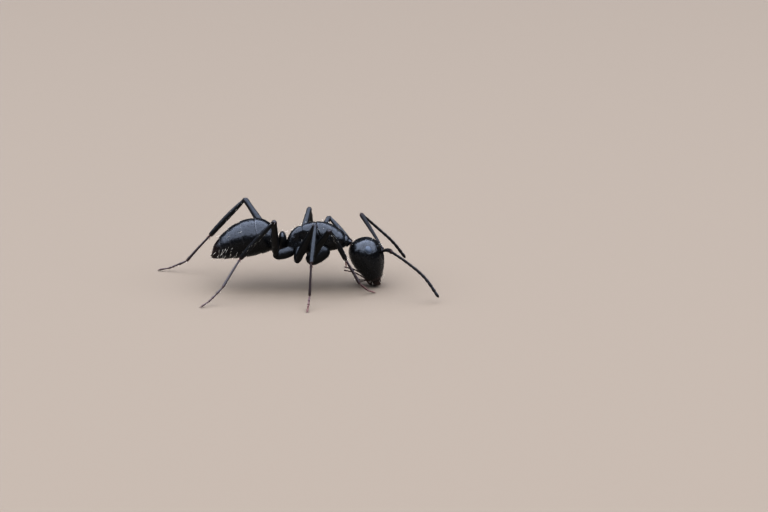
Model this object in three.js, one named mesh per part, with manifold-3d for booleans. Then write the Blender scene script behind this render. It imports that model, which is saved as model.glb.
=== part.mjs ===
// A carpenter ant worker, life size, standing with its head bent down to the ground.
// Millimetres, +X the way the ant faces, +Y its left side, +Z up.
import * as THREE from "three";
import { LoftGeometry } from "three/addons/geometries/LoftGeometry.js";
import { mergeVertices } from "three/addons/utils/BufferGeometryUtils.js";
import Module from "manifold-3d";

const wasm = await Module();
wasm.setup();

// ---- driving dimensions -------------------------------------------------------------------

const GAP = 0.04; // between neighbouring solids
const LIMB_SIDES = 8;
const CAP_STEPS = 3; // arcs from the side of a limb to its pole
const BODY_SIDES = 18;
const BODY_STEPS = 14; // rings along a body section
const FLOOR_BLOCK = 40; // half the size of the block that trims what stands on the ground

const LIMB_RADIUS = 0.27; // at each joint, so every slender piece is just over half a millimetre thick
const THIGH_RADIUS = 0.31; // at the swell of a femur
const FOOT_HEIGHT = 0.2; // of a foot's centre line above the ground, where it ends

const HEAD = { centre: [4.27, 0, 1.85], pitch: 73 };
const EYE = { place: [-0.66, 1.04, 0.36], size: [0.27, 0.2, 0.22] };
const SOCKET = [5.29, 0.35, 2.31]; // where the left antenna leaves the head
const MANDIBLE = {
  base: 1.05, // along the head, as is the tip
  tip: 2.02,
  inner: 0.06, // from the middle of the head, as is the outer edge
  outer: 0.74,
  thick: 0.7,
  forward: 0.2, // of its middle plane from the head's axis
  blunt: 0.2, // width of the rounded tip
  bevel: 0.05,
};
const MOUTH = { place: [1.36, 0, -0.4], size: [0.42, 0.46, 0.3] };
const PALP = { root: [4.16, 0.36, 0.66], heading: 177, rise: 20, length: 1.18, radius: 0.22 };

// Body sections, each row: place along the body, half width, top, underside. A squareness of 2
// makes the sections elliptic, a higher one makes them boxier.
const SQUARENESS = { head: 2.3, thorax: 2.1, gaster: 2.05 };
const HEAD_ROWS = [
  [-1.23, 0.38, 0.32, -0.3],
  [-1.1, 0.8, 0.65, -0.66],
  [-0.8, 1.08, 0.95, -0.94],
  [-0.35, 1.22, 1.1, -1.04],
  [0.25, 1.21, 1.07, -0.95],
  [0.75, 1.1, 0.93, -0.74],
  [1.15, 0.95, 0.75, -0.53],
  [1.42, 0.78, 0.6, -0.36],
];
const THORAX_ROWS = [
  [-0.72, 0.25, 2.82, 2.38],
  [-0.63, 0.4, 3.14, 2.22],
  [-0.42, 0.53, 3.56, 2.12],
  [0.08, 0.64, 3.92, 2.1],
  [0.87, 0.76, 4.13, 2.1],
  [1.5, 0.88, 4.17, 2.12],
  [2.1, 0.93, 4.0, 2.28],
  [2.72, 0.72, 3.62, 2.42],
  [3.08, 0.42, 3.26, 2.54],
  [3.42, 0.25, 2.93, 2.62],
];
const GASTER_ROWS = [
  [-5.42, 0.12, 2.0, 1.8],
  [-5.3, 0.36, 2.56, 1.76],
  [-5.08, 0.54, 2.95, 1.74],
  [-4.6, 0.82, 3.52, 1.73],
  [-3.9, 1.09, 4.04, 1.77],
  [-3.1, 1.24, 4.36, 1.87],
  [-2.4, 1.22, 4.38, 2.02],
  [-1.8, 1.02, 4.14, 2.22],
  [-1.42, 0.72, 3.72, 2.4],
  [-1.28, 0.38, 3.32, 2.56],
];
const THORAX_CUTS = [0.38, 1.36]; // propodeum | mesonotum | pronotum
const GASTER_CUTS = [-4.78, -4.12, -3.3, -2.35]; // from the tip to the first segment
const CUT_LEAN = 12; // degrees that the cuts lean back at the top

const PETIOLE = {
  scale: { place: [-0.93, 0, 2.97], size: [0.3, 0.5, 0.58], lean: -6 },
  stalk: { from: [-0.55, 0, 2.62], to: [-1.42, 0, 2.78], radius: 0.24 },
};

// Pose of each pair of legs: where the coxa starts, where it ends, and the four lengths beyond it.
const LEG_PAIRS = {
  fore: { root: [1.63, 0.58, 2.47], hip: [0.7, 0.9, 1.83], fat: 0.54, lengths: [3.23, 2.34, 1.68, 1.11] },
  mid: { root: [0.18, 0.5, 2.55], hip: [-0.04, 0.9, 1.82], fat: 0.36, lengths: [3.49, 2.74, 1.95, 1.45] },
  hind: { root: [-0.3, 0.45, 2.4], hip: [-1.36, 0.9, 2.16], fat: 0.39, lengths: [4.03, 3.37, 2.24, 1.89] },
};
// Heading (from +X towards +Y) and rise of femur, tibia and tarsus, and the heading of the foot.
const LEG_POSES = {
  fore_left: [[63, 34], [-48, -32], [-29, -61], 18],
  fore_right: [[-53, 47], [32, -60], [-15, -59], 21],
  mid_left: [[74, 43], [88, -47], [86, -56], 78],
  mid_right: [[-57, 51], [-97, -45], [-101, -75], -95],
  hind_left: [[133, 42], [169, -47], [179, -48], 173],
  hind_right: [[-90, 45], [160, -48], [-129, -42], -138],
};
const LEG_PIECES = ["femur", "tibia", "tarsus", "foot"];

// Heading, rise and length of the scape and the three lengths of the whip.
const ANTENNA_POSES = {
  left: [[125, 37, 3.0], [29, -42, 1.4], [1, -43, 1.48], [10, -53, 1.38]],
  right: [[-79, 13, 3.0], [-8, -34, 1.27], [-20, -37, 1.33], [-30, -49, 1.48]],
};
const ANTENNA_PIECES = ["scape", "whip_1", "whip_2", "whip_3"];

// ---- materials ----------------------------------------------------------------------------

const cuticle = new THREE.MeshStandardMaterial({ color: 0x0d0e11, roughness: 0.38, metalness: 0 });
const eyeFacets = new THREE.MeshStandardMaterial({ color: 0x15151a, roughness: 0.25, metalness: 0 });
const jaw = new THREE.MeshStandardMaterial({ color: 0x24100a, roughness: 0.4, metalness: 0 });
const tarsusBrown = new THREE.MeshStandardMaterial({ color: 0x2e1710, roughness: 0.5, metalness: 0 });

// ---- small helpers ------------------------------------------------------------------------

const sideSign = (side) => (side === "left" ? 1 : -1);
const mirrored = ([x, y, z], side) => new THREE.Vector3(x, y * sideSign(side), z);

function direction(heading, rise) {
  const h = THREE.MathUtils.degToRad(heading);
  const r = THREE.MathUtils.degToRad(rise);
  return new THREE.Vector3(Math.cos(r) * Math.cos(h), Math.cos(r) * Math.sin(h), Math.sin(r));
}

function toSolid(geometry, matrix) {
  const bare = new THREE.BufferGeometry().copy(geometry).applyMatrix4(matrix);
  bare.deleteAttribute("normal");
  bare.deleteAttribute("uv");
  const merged = mergeVertices(bare, 1e-4);
  return new wasm.Manifold(
    new wasm.Mesh({
      numProp: 3,
      vertProperties: merged.attributes.position.array,
      triVerts: new Uint32Array(merged.index.array),
    }),
  );
}

function toGeometry(solid) {
  const mesh = solid.getMesh();
  const geometry = new THREE.BufferGeometry();
  geometry.setAttribute("position", new THREE.BufferAttribute(mesh.vertProperties, 3));
  geometry.setIndex(new THREE.BufferAttribute(mesh.triVerts, 1));
  geometry.computeVertexNormals();
  return geometry;
}

function largestBody(solid) {
  return solid.decompose().reduce((best, body) => (body.volume() > best.volume() ? body : best));
}

// shape(grow) gives the piece's geometry, larger all round by grow. The grown one cuts its neighbours.
function addPiece(parent, name, shape, material) {
  const mesh = new THREE.Mesh(shape(0), material);
  mesh.name = name;
  mesh.userData.grown = shape(GAP);
  parent.add(mesh);
  return mesh;
}

// Changes a placed mesh's geometry by a cut made in the ant's own frame.
function recut(mesh, cut) {
  mesh.updateWorldMatrix(true, false);
  const solid = largestBody(cut(toSolid(mesh.geometry, mesh.matrixWorld)));
  mesh.geometry = toGeometry(solid).applyMatrix4(mesh.matrixWorld.clone().invert());
}

function cutClearOf(mesh, neighbours) {
  recut(mesh, (solid) =>
    neighbours.reduce((left, other) => {
      other.updateWorldMatrix(true, false);
      return left.subtract(toSolid(other.userData.grown, other.matrixWorld));
    }, solid),
  );
}

function trimAtGround(mesh) {
  const block = new THREE.BoxGeometry(2 * FLOOR_BLOCK, 2 * FLOOR_BLOCK, 2 * FLOOR_BLOCK);
  const above = new THREE.Matrix4().makeTranslation(0, 0, FLOOR_BLOCK);
  recut(mesh, (solid) => solid.intersect(toSolid(block, above)));
}

// ---- shapes -------------------------------------------------------------------------------

// A round-ended limb up the local Y axis: radii at its root, its swell and its far joint.
function limbShape(length, root, swell, far) {
  return (grow) => {
    const profile = [];
    for (let i = 0; i <= CAP_STEPS; i++) {
      const a = ((i / CAP_STEPS - 1) * Math.PI) / 2;
      profile.push(new THREE.Vector2((root + grow) * Math.cos(a), (root + grow) * Math.sin(a)));
    }
    profile.push(new THREE.Vector2(swell + grow, length * 0.4));
    for (let i = 0; i <= CAP_STEPS; i++) {
      const a = ((i / CAP_STEPS) * Math.PI) / 2;
      profile.push(new THREE.Vector2((far + grow) * Math.cos(a), length + (far + grow) * Math.sin(a)));
    }
    profile[0].x = 0;
    profile.at(-1).x = 0;
    return new THREE.LatheGeometry(profile, LIMB_SIDES);
  };
}

// An egg-like shape: a sphere stretched to three half sizes.
function ovoidShape([x, y, z], sides = 12) {
  return (grow) => {
    const sphere = new THREE.SphereGeometry(1, sides, Math.round(sides * 0.6));
    return sphere.scale(x + grow, y + grow, z + grow);
  };
}

// A body section through rows of [x, half width, top, underside], smoothed between the rows.
function bodyShape(rows, squareness) {
  const spline = (column) =>
    new THREE.SplineCurve(rows.map((row) => new THREE.Vector2(row[0], row[column])));
  const [width, top, underside] = [1, 2, 3].map(spline);
  return (grow) => {
    const sections = [];
    for (let i = 0; i <= BODY_STEPS; i++) {
      const t = i / BODY_STEPS;
      const outward = (2 * t - 1) * grow; // both ends move out by the growth
      const x = width.getPoint(t).x + outward;
      const half = width.getPoint(t).y + grow;
      const high = top.getPoint(t).y + grow;
      const low = underside.getPoint(t).y - grow;
      sections.push(ringOf(x, half, high, low, squareness));
    }
    return new LoftGeometry(sections, { capStart: true, capEnd: true });
  };
}

function ringOf(x, half, high, low, squareness) {
  const power = 2 / squareness;
  const bend = (v) => Math.sign(v) * Math.abs(v) ** power;
  const ring = [];
  for (let j = 0; j < BODY_SIDES; j++) {
    const a = (j / BODY_SIDES) * 2 * Math.PI;
    const y = half * bend(Math.cos(a));
    const z = (high + low) / 2 + ((high - low) / 2) * bend(Math.sin(a));
    ring.push(new THREE.Vector3(x, y, z));
  }
  return ring;
}

// A closed jaw seen from its flat side: curved outer edge, straight biting edge.
function mandibleShape(side) {
  const { base, tip, inner, outer, thick, forward, blunt, bevel } = MANDIBLE;
  return (grow) => {
    const blade = new THREE.Shape();
    blade.moveTo(base, inner);
    blade.lineTo(tip - blunt / 2, inner);
    blade.quadraticCurveTo(tip, inner, tip - blunt / 3, inner + blunt);
    blade.quadraticCurveTo(tip - blunt, outer, base, outer + grow);
    blade.closePath();
    const options = {
      depth: thick,
      curveSegments: 5,
      bevelEnabled: true,
      bevelThickness: bevel,
      bevelSize: bevel,
      bevelOffset: -bevel,
      bevelSegments: 1,
    };
    const geometry = new THREE.ExtrudeGeometry(blade, options).translate(0, 0, forward - thick / 2);
    if (side === "left") return geometry;
    const solid = toSolid(geometry, new THREE.Matrix4()).mirror([0, 1, 0]);
    return toGeometry(solid);
  };
}

// ---- head ---------------------------------------------------------------------------------

function placeLimb(mesh, start, heading) {
  mesh.position.copy(start);
  mesh.quaternion.setFromUnitVectors(new THREE.Vector3(0, 1, 0), heading);
}

function addHead(ant) {
  const group = new THREE.Group();
  group.position.set(...HEAD.centre);
  group.rotation.y = THREE.MathUtils.degToRad(HEAD.pitch);
  ant.add(group);
  const head = addPiece(group, "head", bodyShape(HEAD_ROWS, SQUARENESS.head), cuticle);
  const mouth = addPiece(group, "mouthparts", ovoidShape(MOUTH.size), jaw);
  mouth.position.set(...MOUTH.place);
  const mandibles = [];
  for (const side of ["left", "right"]) {
    const eye = addPiece(group, `eye_${side}`, ovoidShape(EYE.size), eyeFacets);
    eye.position.copy(mirrored(EYE.place, side));
    cutClearOf(eye, [head]);
    const mandible = addPiece(group, `mandible_${side}`, mandibleShape(side), jaw);
    cutClearOf(mandible, [head]);
    trimAtGround(mandible);
    mandibles.push(mandible);
  }
  cutClearOf(mouth, [head, ...mandibles]);
  for (const side of ["left", "right"]) {
    const { length, radius, heading, rise } = PALP;
    const palp = addPiece(ant, `palp_${side}`, limbShape(length, radius, radius, radius), jaw);
    placeLimb(palp, mirrored(PALP.root, side), direction(heading * sideSign(side), rise));
    cutClearOf(palp, [head, mouth, ...mandibles]);
  }
  return head;
}

// ---- trunk and gaster ---------------------------------------------------------------------

// Parts a body section into named lengths by thin leaning cuts at the places given.
function addLengths(ant, names, shape, cuts, material) {
  const lean = new THREE.Matrix4().makeRotationY(-THREE.MathUtils.degToRad(CUT_LEAN));
  const height = 3; // the cuts turn about this height
  const ends = [-FLOOR_BLOCK, ...cuts, FLOOR_BLOCK];
  return names.map((name, i) => {
    const from = ends[i] + GAP / 2;
    const to = ends[i + 1] - GAP / 2;
    const slab = new THREE.BoxGeometry(to - from, FLOOR_BLOCK, FLOOR_BLOCK);
    slab.applyMatrix4(new THREE.Matrix4().makeTranslation((from + to) / 2, 0, 0));
    const placed = new THREE.Matrix4().makeTranslation(0, 0, height).multiply(lean);
    const mesh = addPiece(ant, name, shape, material);
    recut(mesh, (solid) => solid.intersect(toSolid(slab, placed)));
    return mesh;
  });
}

function addPetiole(ant, neighbours) {
  const { scale, stalk } = PETIOLE;
  const from = new THREE.Vector3(...stalk.from);
  const along = new THREE.Vector3(...stalk.to).sub(from);
  const place = new THREE.Object3D();
  placeLimb(place, from, along.clone().normalize());
  place.updateMatrix();
  const plate = new THREE.Matrix4().makeTranslation(...scale.place);
  plate.multiply(new THREE.Matrix4().makeRotationY(THREE.MathUtils.degToRad(scale.lean)));
  const shape = (grow) => {
    const rod = limbShape(along.length(), stalk.radius, stalk.radius, stalk.radius)(grow);
    return toGeometry(toSolid(rod, place.matrix).add(toSolid(ovoidShape(scale.size)(grow), plate)));
  };
  const petiole = addPiece(ant, "petiole", shape, cuticle);
  cutClearOf(petiole, neighbours);
  return petiole;
}

// ---- legs and antennae --------------------------------------------------------------------

// A chain of round-ended lengths from one joint to the next. Each is cut clear of the one before.
function addChain(ant, start, previous, links) {
  const joint = start.clone();
  let before = previous;
  for (const { name, heading, length, swell, material } of links) {
    const link = addPiece(ant, name, limbShape(length, LIMB_RADIUS, swell, LIMB_RADIUS), material);
    placeLimb(link, joint, heading);
    cutClearOf(link, before);
    joint.addScaledVector(heading, length);
    before = [link];
  }
  return before[0];
}

function addCoxa(ant, pair, side, neighbours) {
  const { root, hip, fat } = LEG_PAIRS[pair];
  const start = mirrored(root, side);
  const along = mirrored(hip, side).sub(start);
  const shape = limbShape(along.length(), fat, fat * 1.02, LIMB_RADIUS + 0.03);
  const coxa = addPiece(ant, `${pair}_${side}_coxa`, shape, cuticle);
  placeLimb(coxa, start, along.normalize());
  cutClearOf(coxa, neighbours);
  return coxa;
}

function addLeg(ant, pair, side, coxa) {
  const pose = LEG_POSES[`${pair}_${side}`];
  const lengths = LEG_PAIRS[pair].lengths;
  const joint = mirrored(LEG_PAIRS[pair].hip, side);
  const headings = pose.slice(0, 3).map(([heading, rise]) => direction(heading, rise));
  const ankle = headings.reduce((at, heading, i) => at.addScaledVector(heading, lengths[i]), joint.clone());
  const drop = Math.asin((FOOT_HEIGHT - ankle.z) / lengths[3]);
  headings.push(direction(pose[3], THREE.MathUtils.radToDeg(drop)));
  const links = LEG_PIECES.map((piece, i) => ({
    name: `${pair}_${side}_${piece}`,
    heading: headings[i],
    length: lengths[i],
    swell: i === 0 ? THIGH_RADIUS : LIMB_RADIUS,
    material: i < 2 ? cuticle : tarsusBrown,
  }));
  trimAtGround(addChain(ant, joint, [coxa], links));
}

function addAntenna(ant, side, head) {
  const links = ANTENNA_POSES[side].map(([heading, rise, length], i) => ({
    name: `antenna_${side}_${ANTENNA_PIECES[i]}`,
    heading: direction(heading, rise),
    length,
    swell: LIMB_RADIUS,
    material: cuticle,
  }));
  addChain(ant, mirrored(SOCKET, side), [head], links);
}

// ---- the whole ant ------------------------------------------------------------------------

// The origin lies on the ground under the middle of the ant's outline.
function centreOnGround(ant) {
  const box = new THREE.Box3().setFromObject(ant, true);
  const middle = box.getCenter(new THREE.Vector3());
  ant.position.set(-middle.x, -middle.y, -box.min.z);
}

function buildAnt() {
  const ant = new THREE.Group();
  const head = addHead(ant);
  const thoraxShape = bodyShape(THORAX_ROWS, SQUARENESS.thorax);
  const gasterShape = bodyShape(GASTER_ROWS, SQUARENESS.gaster);
  const thorax = addLengths(ant, ["propodeum", "mesonotum", "pronotum"], thoraxShape, THORAX_CUTS, cuticle);
  const segments = ["gaster_5", "gaster_4", "gaster_3", "gaster_2", "gaster_1"];
  const gaster = addLengths(ant, segments, gasterShape, GASTER_CUTS, cuticle);
  cutClearOf(thorax[2], [head]);
  const petiole = addPetiole(ant, [thorax[0], gaster[4]]);
  for (const side of ["left", "right"]) {
    const coxae = {};
    const placed = [thorax[0], petiole];
    for (const pair of Object.keys(LEG_PAIRS)) {
      coxae[pair] = addCoxa(ant, pair, side, placed);
      placed.push(coxae[pair]);
    }
    for (const pair of Object.keys(LEG_PAIRS)) addLeg(ant, pair, side, coxae[pair]);
    addAntenna(ant, side, head);
  }
  centreOnGround(ant);
  return ant;
}

export default buildAnt();
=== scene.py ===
"""Builds the looks of a life-size carpenter ant around its measured solids.

Everything is modelled in millimetres and brought to metres as the last step of each piece.
A body section has its own frame: X to the ant's left, Y towards its back, Z along the section.
"""

import math

import bpy
import numpy as np
from mathutils import Matrix, Vector


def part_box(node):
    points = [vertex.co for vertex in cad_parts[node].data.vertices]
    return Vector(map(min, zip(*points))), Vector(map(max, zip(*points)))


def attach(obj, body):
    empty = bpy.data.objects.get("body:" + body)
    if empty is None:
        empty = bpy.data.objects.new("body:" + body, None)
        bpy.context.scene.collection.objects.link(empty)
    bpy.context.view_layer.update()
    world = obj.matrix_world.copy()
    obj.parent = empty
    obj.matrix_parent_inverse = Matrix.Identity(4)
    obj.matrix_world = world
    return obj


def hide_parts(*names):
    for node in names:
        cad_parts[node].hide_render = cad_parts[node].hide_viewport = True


bl_info = {
    "name": "Carpenter Ant",
    "version": (1, 0, 0),
    "blender": (4, 5, 0),
    "location": "View3D > Sidebar > Ant",
    "description": "Models a standing carpenter ant around its measured solids",
    "category": "Object",
}

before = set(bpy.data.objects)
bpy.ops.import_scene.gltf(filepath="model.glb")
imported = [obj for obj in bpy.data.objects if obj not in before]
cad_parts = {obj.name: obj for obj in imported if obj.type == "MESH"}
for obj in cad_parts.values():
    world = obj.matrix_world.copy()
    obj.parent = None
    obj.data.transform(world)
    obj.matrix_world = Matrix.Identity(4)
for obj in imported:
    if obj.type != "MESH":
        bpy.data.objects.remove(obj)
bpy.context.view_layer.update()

MM = 0.001
SIDES = {"left": 1, "right": -1}
PAIRS = ("fore", "mid", "hind")
THORAX_NODES = ("propodeum", "mesonotum", "pronotum")
GASTER_NODES = ("gaster_5", "gaster_4", "gaster_3", "gaster_2", "gaster_1")
LEG_LINKS = ("femur", "tibia", "tarsus", "foot")
WHIP_LINKS = ("scape", "whip_1", "whip_2", "whip_3")
UP = Vector((0, 0, 1))


# ---- measuring the solids -----------------------------------------------------------------


def node_points(name):
    """The different corners of a solid, in millimetres."""
    points = np.array([v.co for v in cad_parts[name].data.vertices]) / MM
    return np.unique(points.round(5), axis=0)


def node_edges(names):
    """Both ends of every triangle edge of some solids, in millimetres."""
    ends = []
    for name in names:
        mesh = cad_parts[name].data
        mesh.calc_loop_triangles()
        points = np.array([v.co for v in mesh.vertices]) / MM
        corners = points[np.array([t.vertices for t in mesh.loop_triangles])]
        ends.append(np.stack([corners, np.roll(corners, -1, axis=1)], axis=2).reshape(-1, 2, 3))
    return np.concatenate(ends)


def round_end(name, radius):
    """The centre of a limb's round far end.

    Its pole has a ring of corners that lie one radius below it and one radius out."""
    points = node_points(name)
    apart = np.linalg.norm(points[:, None] - points[None], axis=2)
    on_ring = abs(apart - radius * math.sqrt(2)) < radius * 0.02
    pole = on_ring.sum(1).argmax()
    return Vector(points[on_ring[pole]].mean(0))


def joints_along(start, names, radius):
    """The joints of a chain of round-ended links, from its first one on."""
    joints = [Vector(start)]
    for name in names:
        points = node_points(name)
        reach = np.linalg.norm(points - np.array(joints[-1]), axis=1)
        pole = Vector(points[reach.argmax()])
        joints.append(pole - (pole - joints[-1]).normalized() * radius)
    return joints


def midline():
    """Where the ant's plane of symmetry lies, in millimetres from the origin."""
    low, high = (corner / MM for corner in map(Vector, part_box("head")))
    return (low.y + high.y) / 2


class Section:
    """A body section's own frame, with its width, top and underside measured along it."""

    def __init__(self, nodes, pitch_degrees):
        pitch = math.radians(pitch_degrees)
        along = (math.cos(pitch), 0, -math.sin(pitch))
        back = (math.sin(pitch), 0, math.cos(pitch))
        self.axes = np.array([(0, 1, 0), back, along])
        turned = [node_edges([name]) @ self.axes.T for name in nodes]
        ends = [(part[..., 2].min(), part[..., 2].max()) for part in turned]
        edges = np.concatenate(turned)
        centre = (edges.min((0, 1)) + edges.max((0, 1))) / 2
        edges = edges - centre
        self.origin = centre @ self.axes
        self.start, self.end = edges[..., 2].min(), edges[..., 2].max()
        self.seams = [(a[1] + b[0]) / 2 - centre[2] for a, b in zip(ends, ends[1:])]
        rows = []
        for place in np.linspace(self.start, self.end, 120)[1:-1]:
            a, b = edges[:, 0], edges[:, 1]
            crossing = (a[:, 2] - place) * (b[:, 2] - place) < 0
            a, b = a[crossing], b[crossing]
            if len(a) < 8:
                continue
            cut = a + ((place - a[:, 2]) / (b[:, 2] - a[:, 2]))[:, None] * (b - a)
            rows.append((place, abs(cut[:, 0]).max(), cut[:, 1].max(), cut[:, 1].min()))
        self.rows = np.array(rows)

    def sizes(self, place):
        """Half width, half depth and the height of the middle, at a place along the section."""
        wide, top, under = (np.interp(place, self.rows[:, 0], self.rows[:, k]) for k in (1, 2, 3))
        return wide, (top - under) / 2, (top + under) / 2

    def ring(self, place, inset, share=1.0):
        wide, deep, middle = self.sizes(place)
        return (place, (wide - inset) * share, (deep - inset) * share, 0.0, middle)

    def matrix(self):
        """Takes the section's frame to the ant's, in millimetres."""
        return Matrix.Translation(Vector(self.origin)) @ Matrix(self.axes.T.tolist()).to_4x4()

    def local(self, point):
        return Vector(self.axes @ (np.array(point) - self.origin))


# ---- modelling steps ----------------------------------------------------------------------


def pick_nothing():
    if bpy.context.mode != "OBJECT":
        bpy.ops.object.mode_set(mode="OBJECT")
    bpy.ops.object.select_all(action="DESELECT")


def pick(*objects):
    pick_nothing()
    for thing in objects:
        thing.select_set(True)
    bpy.context.view_layer.objects.active = objects[0]


def loft(name, rings, sides=24):
    """A disc extruded up Z from ring to ring, with its skin laid out flat as a map.

    A ring is its height, half width, half depth and the two shifts of its centre."""
    pick_nothing()
    height, wide, deep, x, y = rings[0]
    bpy.ops.mesh.primitive_circle_add(vertices=sides, radius=1, fill_type="NGON", calc_uvs=False)
    piece = bpy.context.object
    piece.name = name
    bpy.ops.object.mode_set(mode="EDIT")
    bpy.ops.transform.resize(value=(wide, deep, 1), center_override=(0, 0, 0))
    bpy.ops.transform.translate(value=(x, y, height))
    for before, ring in zip(rings, rings[1:]):
        step = (ring[3] - before[3], ring[4] - before[4], ring[0] - before[0])
        bpy.ops.mesh.extrude_region_move(TRANSFORM_OT_translate={"value": step})
        scale = (ring[1] / before[1], ring[2] / before[2], 1)
        bpy.ops.transform.resize(value=scale, center_override=(ring[3], ring[4], ring[0]))
    turn_faces_out()
    put_in_order(piece)
    lay_out_skin(piece, rings, sides)
    return piece


def turn_faces_out():
    """Ends edit mode with all faces of the piece pointing outwards."""
    bpy.ops.mesh.select_all(action="SELECT")
    bpy.ops.mesh.normals_make_consistent(inside=False)
    bpy.ops.object.mode_set(mode="OBJECT")


def put_in_order(piece):
    """Sorts the edges and faces, and where each face starts.

    Extruding leaves these to chance, and the hairs are drawn over them."""
    points = [tuple(vertex.co) for vertex in piece.data.vertices]
    faces, edges = [], set()
    for face in piece.data.polygons:
        corners = list(face.vertices)
        first = corners.index(min(corners))
        faces.append(corners[first:] + corners[:first])
        edges.update(tuple(sorted(pair)) for pair in zip(corners, corners[1:] + corners[:1]))
    piece.data.clear_geometry()
    piece.data.from_pydata(points, sorted(edges), sorted(faces))


def lay_out_skin(piece, rings, sides):
    """The map's U goes round the loft and its V goes along it by true length."""
    heights = np.array([ring[0] for ring in rings])
    spans = np.hypot(np.diff(heights), np.diff([ring[1] for ring in rings]))
    along = np.concatenate([[0], np.cumsum(spans)]) / spans.sum()
    layer = piece.data.uv_layers.new(name="Skin")
    for face in piece.data.polygons:
        turns = [v % sides for v in face.vertices]
        wraps = 0 in turns and sides - 1 in turns and len(turns) == 4
        for loop, vertex, turn in zip(face.loop_indices, face.vertices, turns):
            u = 1.0 if wraps and turn == 0 else turn / sides
            layer.data[loop].uv = (u, along[vertex // sides])


def modify(piece, kind, **settings):
    """Adds a modifier and applies it."""
    pick(piece)
    modifier = piece.modifiers.new(kind.title(), kind)
    for name, value in settings.items():
        setattr(modifier, name, value)
    bpy.ops.object.modifier_apply(modifier=modifier.name)


def subdivide(piece, levels):
    modify(piece, "SUBSURF", levels=levels, render_levels=levels)


def place(piece, matrix):
    """Puts the placement into the mesh."""
    pick(piece)
    piece.matrix_world = matrix
    bpy.ops.object.transform_apply(location=True, rotation=True, scale=True)
    return piece


def copy_of(piece, matrix):
    """A copy with its own mesh, placed."""
    twin = piece.copy()
    twin.data = piece.data.copy()
    bpy.context.scene.collection.objects.link(twin)
    return place(twin, matrix)


def discard(pieces):
    for piece in pieces:
        bpy.data.objects.remove(piece)


def mirrored(piece, name):
    """The same shape on the other side of X, with its faces turned out again."""
    twin = copy_of(piece, Matrix.Diagonal((-1, 1, 1, 1)))
    twin.name = name
    pick(twin)
    bpy.ops.object.mode_set(mode="EDIT")
    turn_faces_out()
    return twin


def join(name, pieces):
    pick(*pieces)
    if len(pieces) > 1:
        bpy.ops.object.join()
    whole = bpy.context.object
    whole.name = name
    return whole


def finish_piece(piece, material, nodes=()):
    """Millimetres to metres, smooth shading and material; the piece goes under the root body, and the solids
    it stands for are hidden.
    """
    place(piece, Matrix.Scale(MM, 4))
    pick(piece)
    bpy.ops.object.shade_smooth()
    piece.data.materials.clear()
    piece.data.materials.append(material)
    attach(piece, "root")
    if nodes:
        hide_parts(*nodes)
    return piece


def aimed(start, direction, roll_towards=UP, size=(1, 1, 1)):
    """Places something drawn up Z: its foot at start, pointing in a direction.

    Its own X turns as near as it can to roll_towards."""
    z = Vector(direction).normalized()
    x = Vector(roll_towards)
    x = (x - z * x.dot(z)).normalized()
    turn = Matrix((x, z.cross(x), z)).transposed().to_4x4()
    return Matrix.Translation(start) @ turn @ Matrix.Diagonal((*size, 1))


def read_array(piece, field):
    values = np.empty(len(piece.data.vertices) * 3)
    piece.data.vertices.foreach_get(field, values)
    return values.reshape(-1, 3)


def write_points(piece, points):
    piece.data.vertices.foreach_set("co", points.ravel())
    piece.data.update()


def set_attribute(piece, name, values):
    """values is one number for the whole piece or one for each corner."""
    attribute = piece.data.attributes.new(name, "FLOAT", "POINT")
    attribute.data.foreach_set("value", np.full(len(piece.data.vertices), values, np.float32))


def laid_on(piece, path, spacing):
    """A path near a skin, drawn on it as closely spaced points."""
    found = []
    path = [Vector(p) for p in path]
    if len(path) == 1:
        path = path * 2
    for a, b in zip(path, path[1:]):
        steps = max(1, math.ceil((b - a).length / spacing))
        for k in range(steps + 1):
            found.append(piece.closest_point_on_mesh(a.lerp(b, k / steps))[1])
    return np.array(found)


def carve(piece, strokes):
    """Raises or sinks a skin along lines laid on it. A stroke is its path, its width and its lift."""
    points, normals = read_array(piece, "co"), read_array(piece, "normal")
    rise, sink = np.zeros(len(points)), np.zeros(len(points))
    for path, width, lift in strokes:
        line = laid_on(piece, path, width / 2)
        near = np.all((points > line.min(0) - 3 * width) & (points < line.max(0) + 3 * width), axis=1)
        apart = np.full(len(points), np.inf)
        spots = points[near]
        best = np.full(len(spots), np.inf)
        for spot in line:
            best = np.minimum(best, ((spots - spot) ** 2).sum(1))
        apart[near] = best
        amount = lift * np.exp(-apart / width**2)
        rise, sink = np.maximum(rise, amount), np.minimum(sink, amount)
    write_points(piece, points + normals * (rise + sink)[:, None])


def on_both_sides(strokes):
    """The strokes and their mirror images."""
    flipped = [([(-x, y, z) for x, y, z in path], width, lift) for path, width, lift in strokes]
    return strokes + flipped


def side_oval(x, middle, halves, turns):
    """An oval line on the left side, round a middle given by its Y and Z."""
    y, z = middle
    high, long = halves
    return [(x, y + high * math.cos(a), z + long * math.sin(a)) for a in turns]


def smooth_path(points, count):
    """A curve through some points, as evenly spaced ones."""
    points = [Vector(p) for p in points]
    ends = [points[0] * 2 - points[1], *points, points[-1] * 2 - points[-2]]
    fine = []
    for a, b, c, d in zip(ends, ends[1:], ends[2:], ends[3:]):
        for t in np.arange(0, 1, 0.04):
            bend = (2 * a - 5 * b + 4 * c - d) * t**2 + (3 * b - a - 3 * c + d) * t**3
            fine.append((2 * b + (c - a) * t + bend) / 2)
    fine = np.array([*fine, points[-1]])
    reach = np.concatenate([[0], np.cumsum(np.linalg.norm(np.diff(fine, axis=0), axis=1))])
    wanted = np.asarray(count) if np.ndim(count) else np.linspace(0, 1, count)
    at = wanted * reach[-1]
    return [Vector(p) for p in np.stack([np.interp(at, reach, fine[:, k]) for k in range(3)], axis=1)]


# ---- hair ---------------------------------------------------------------------------------


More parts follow.
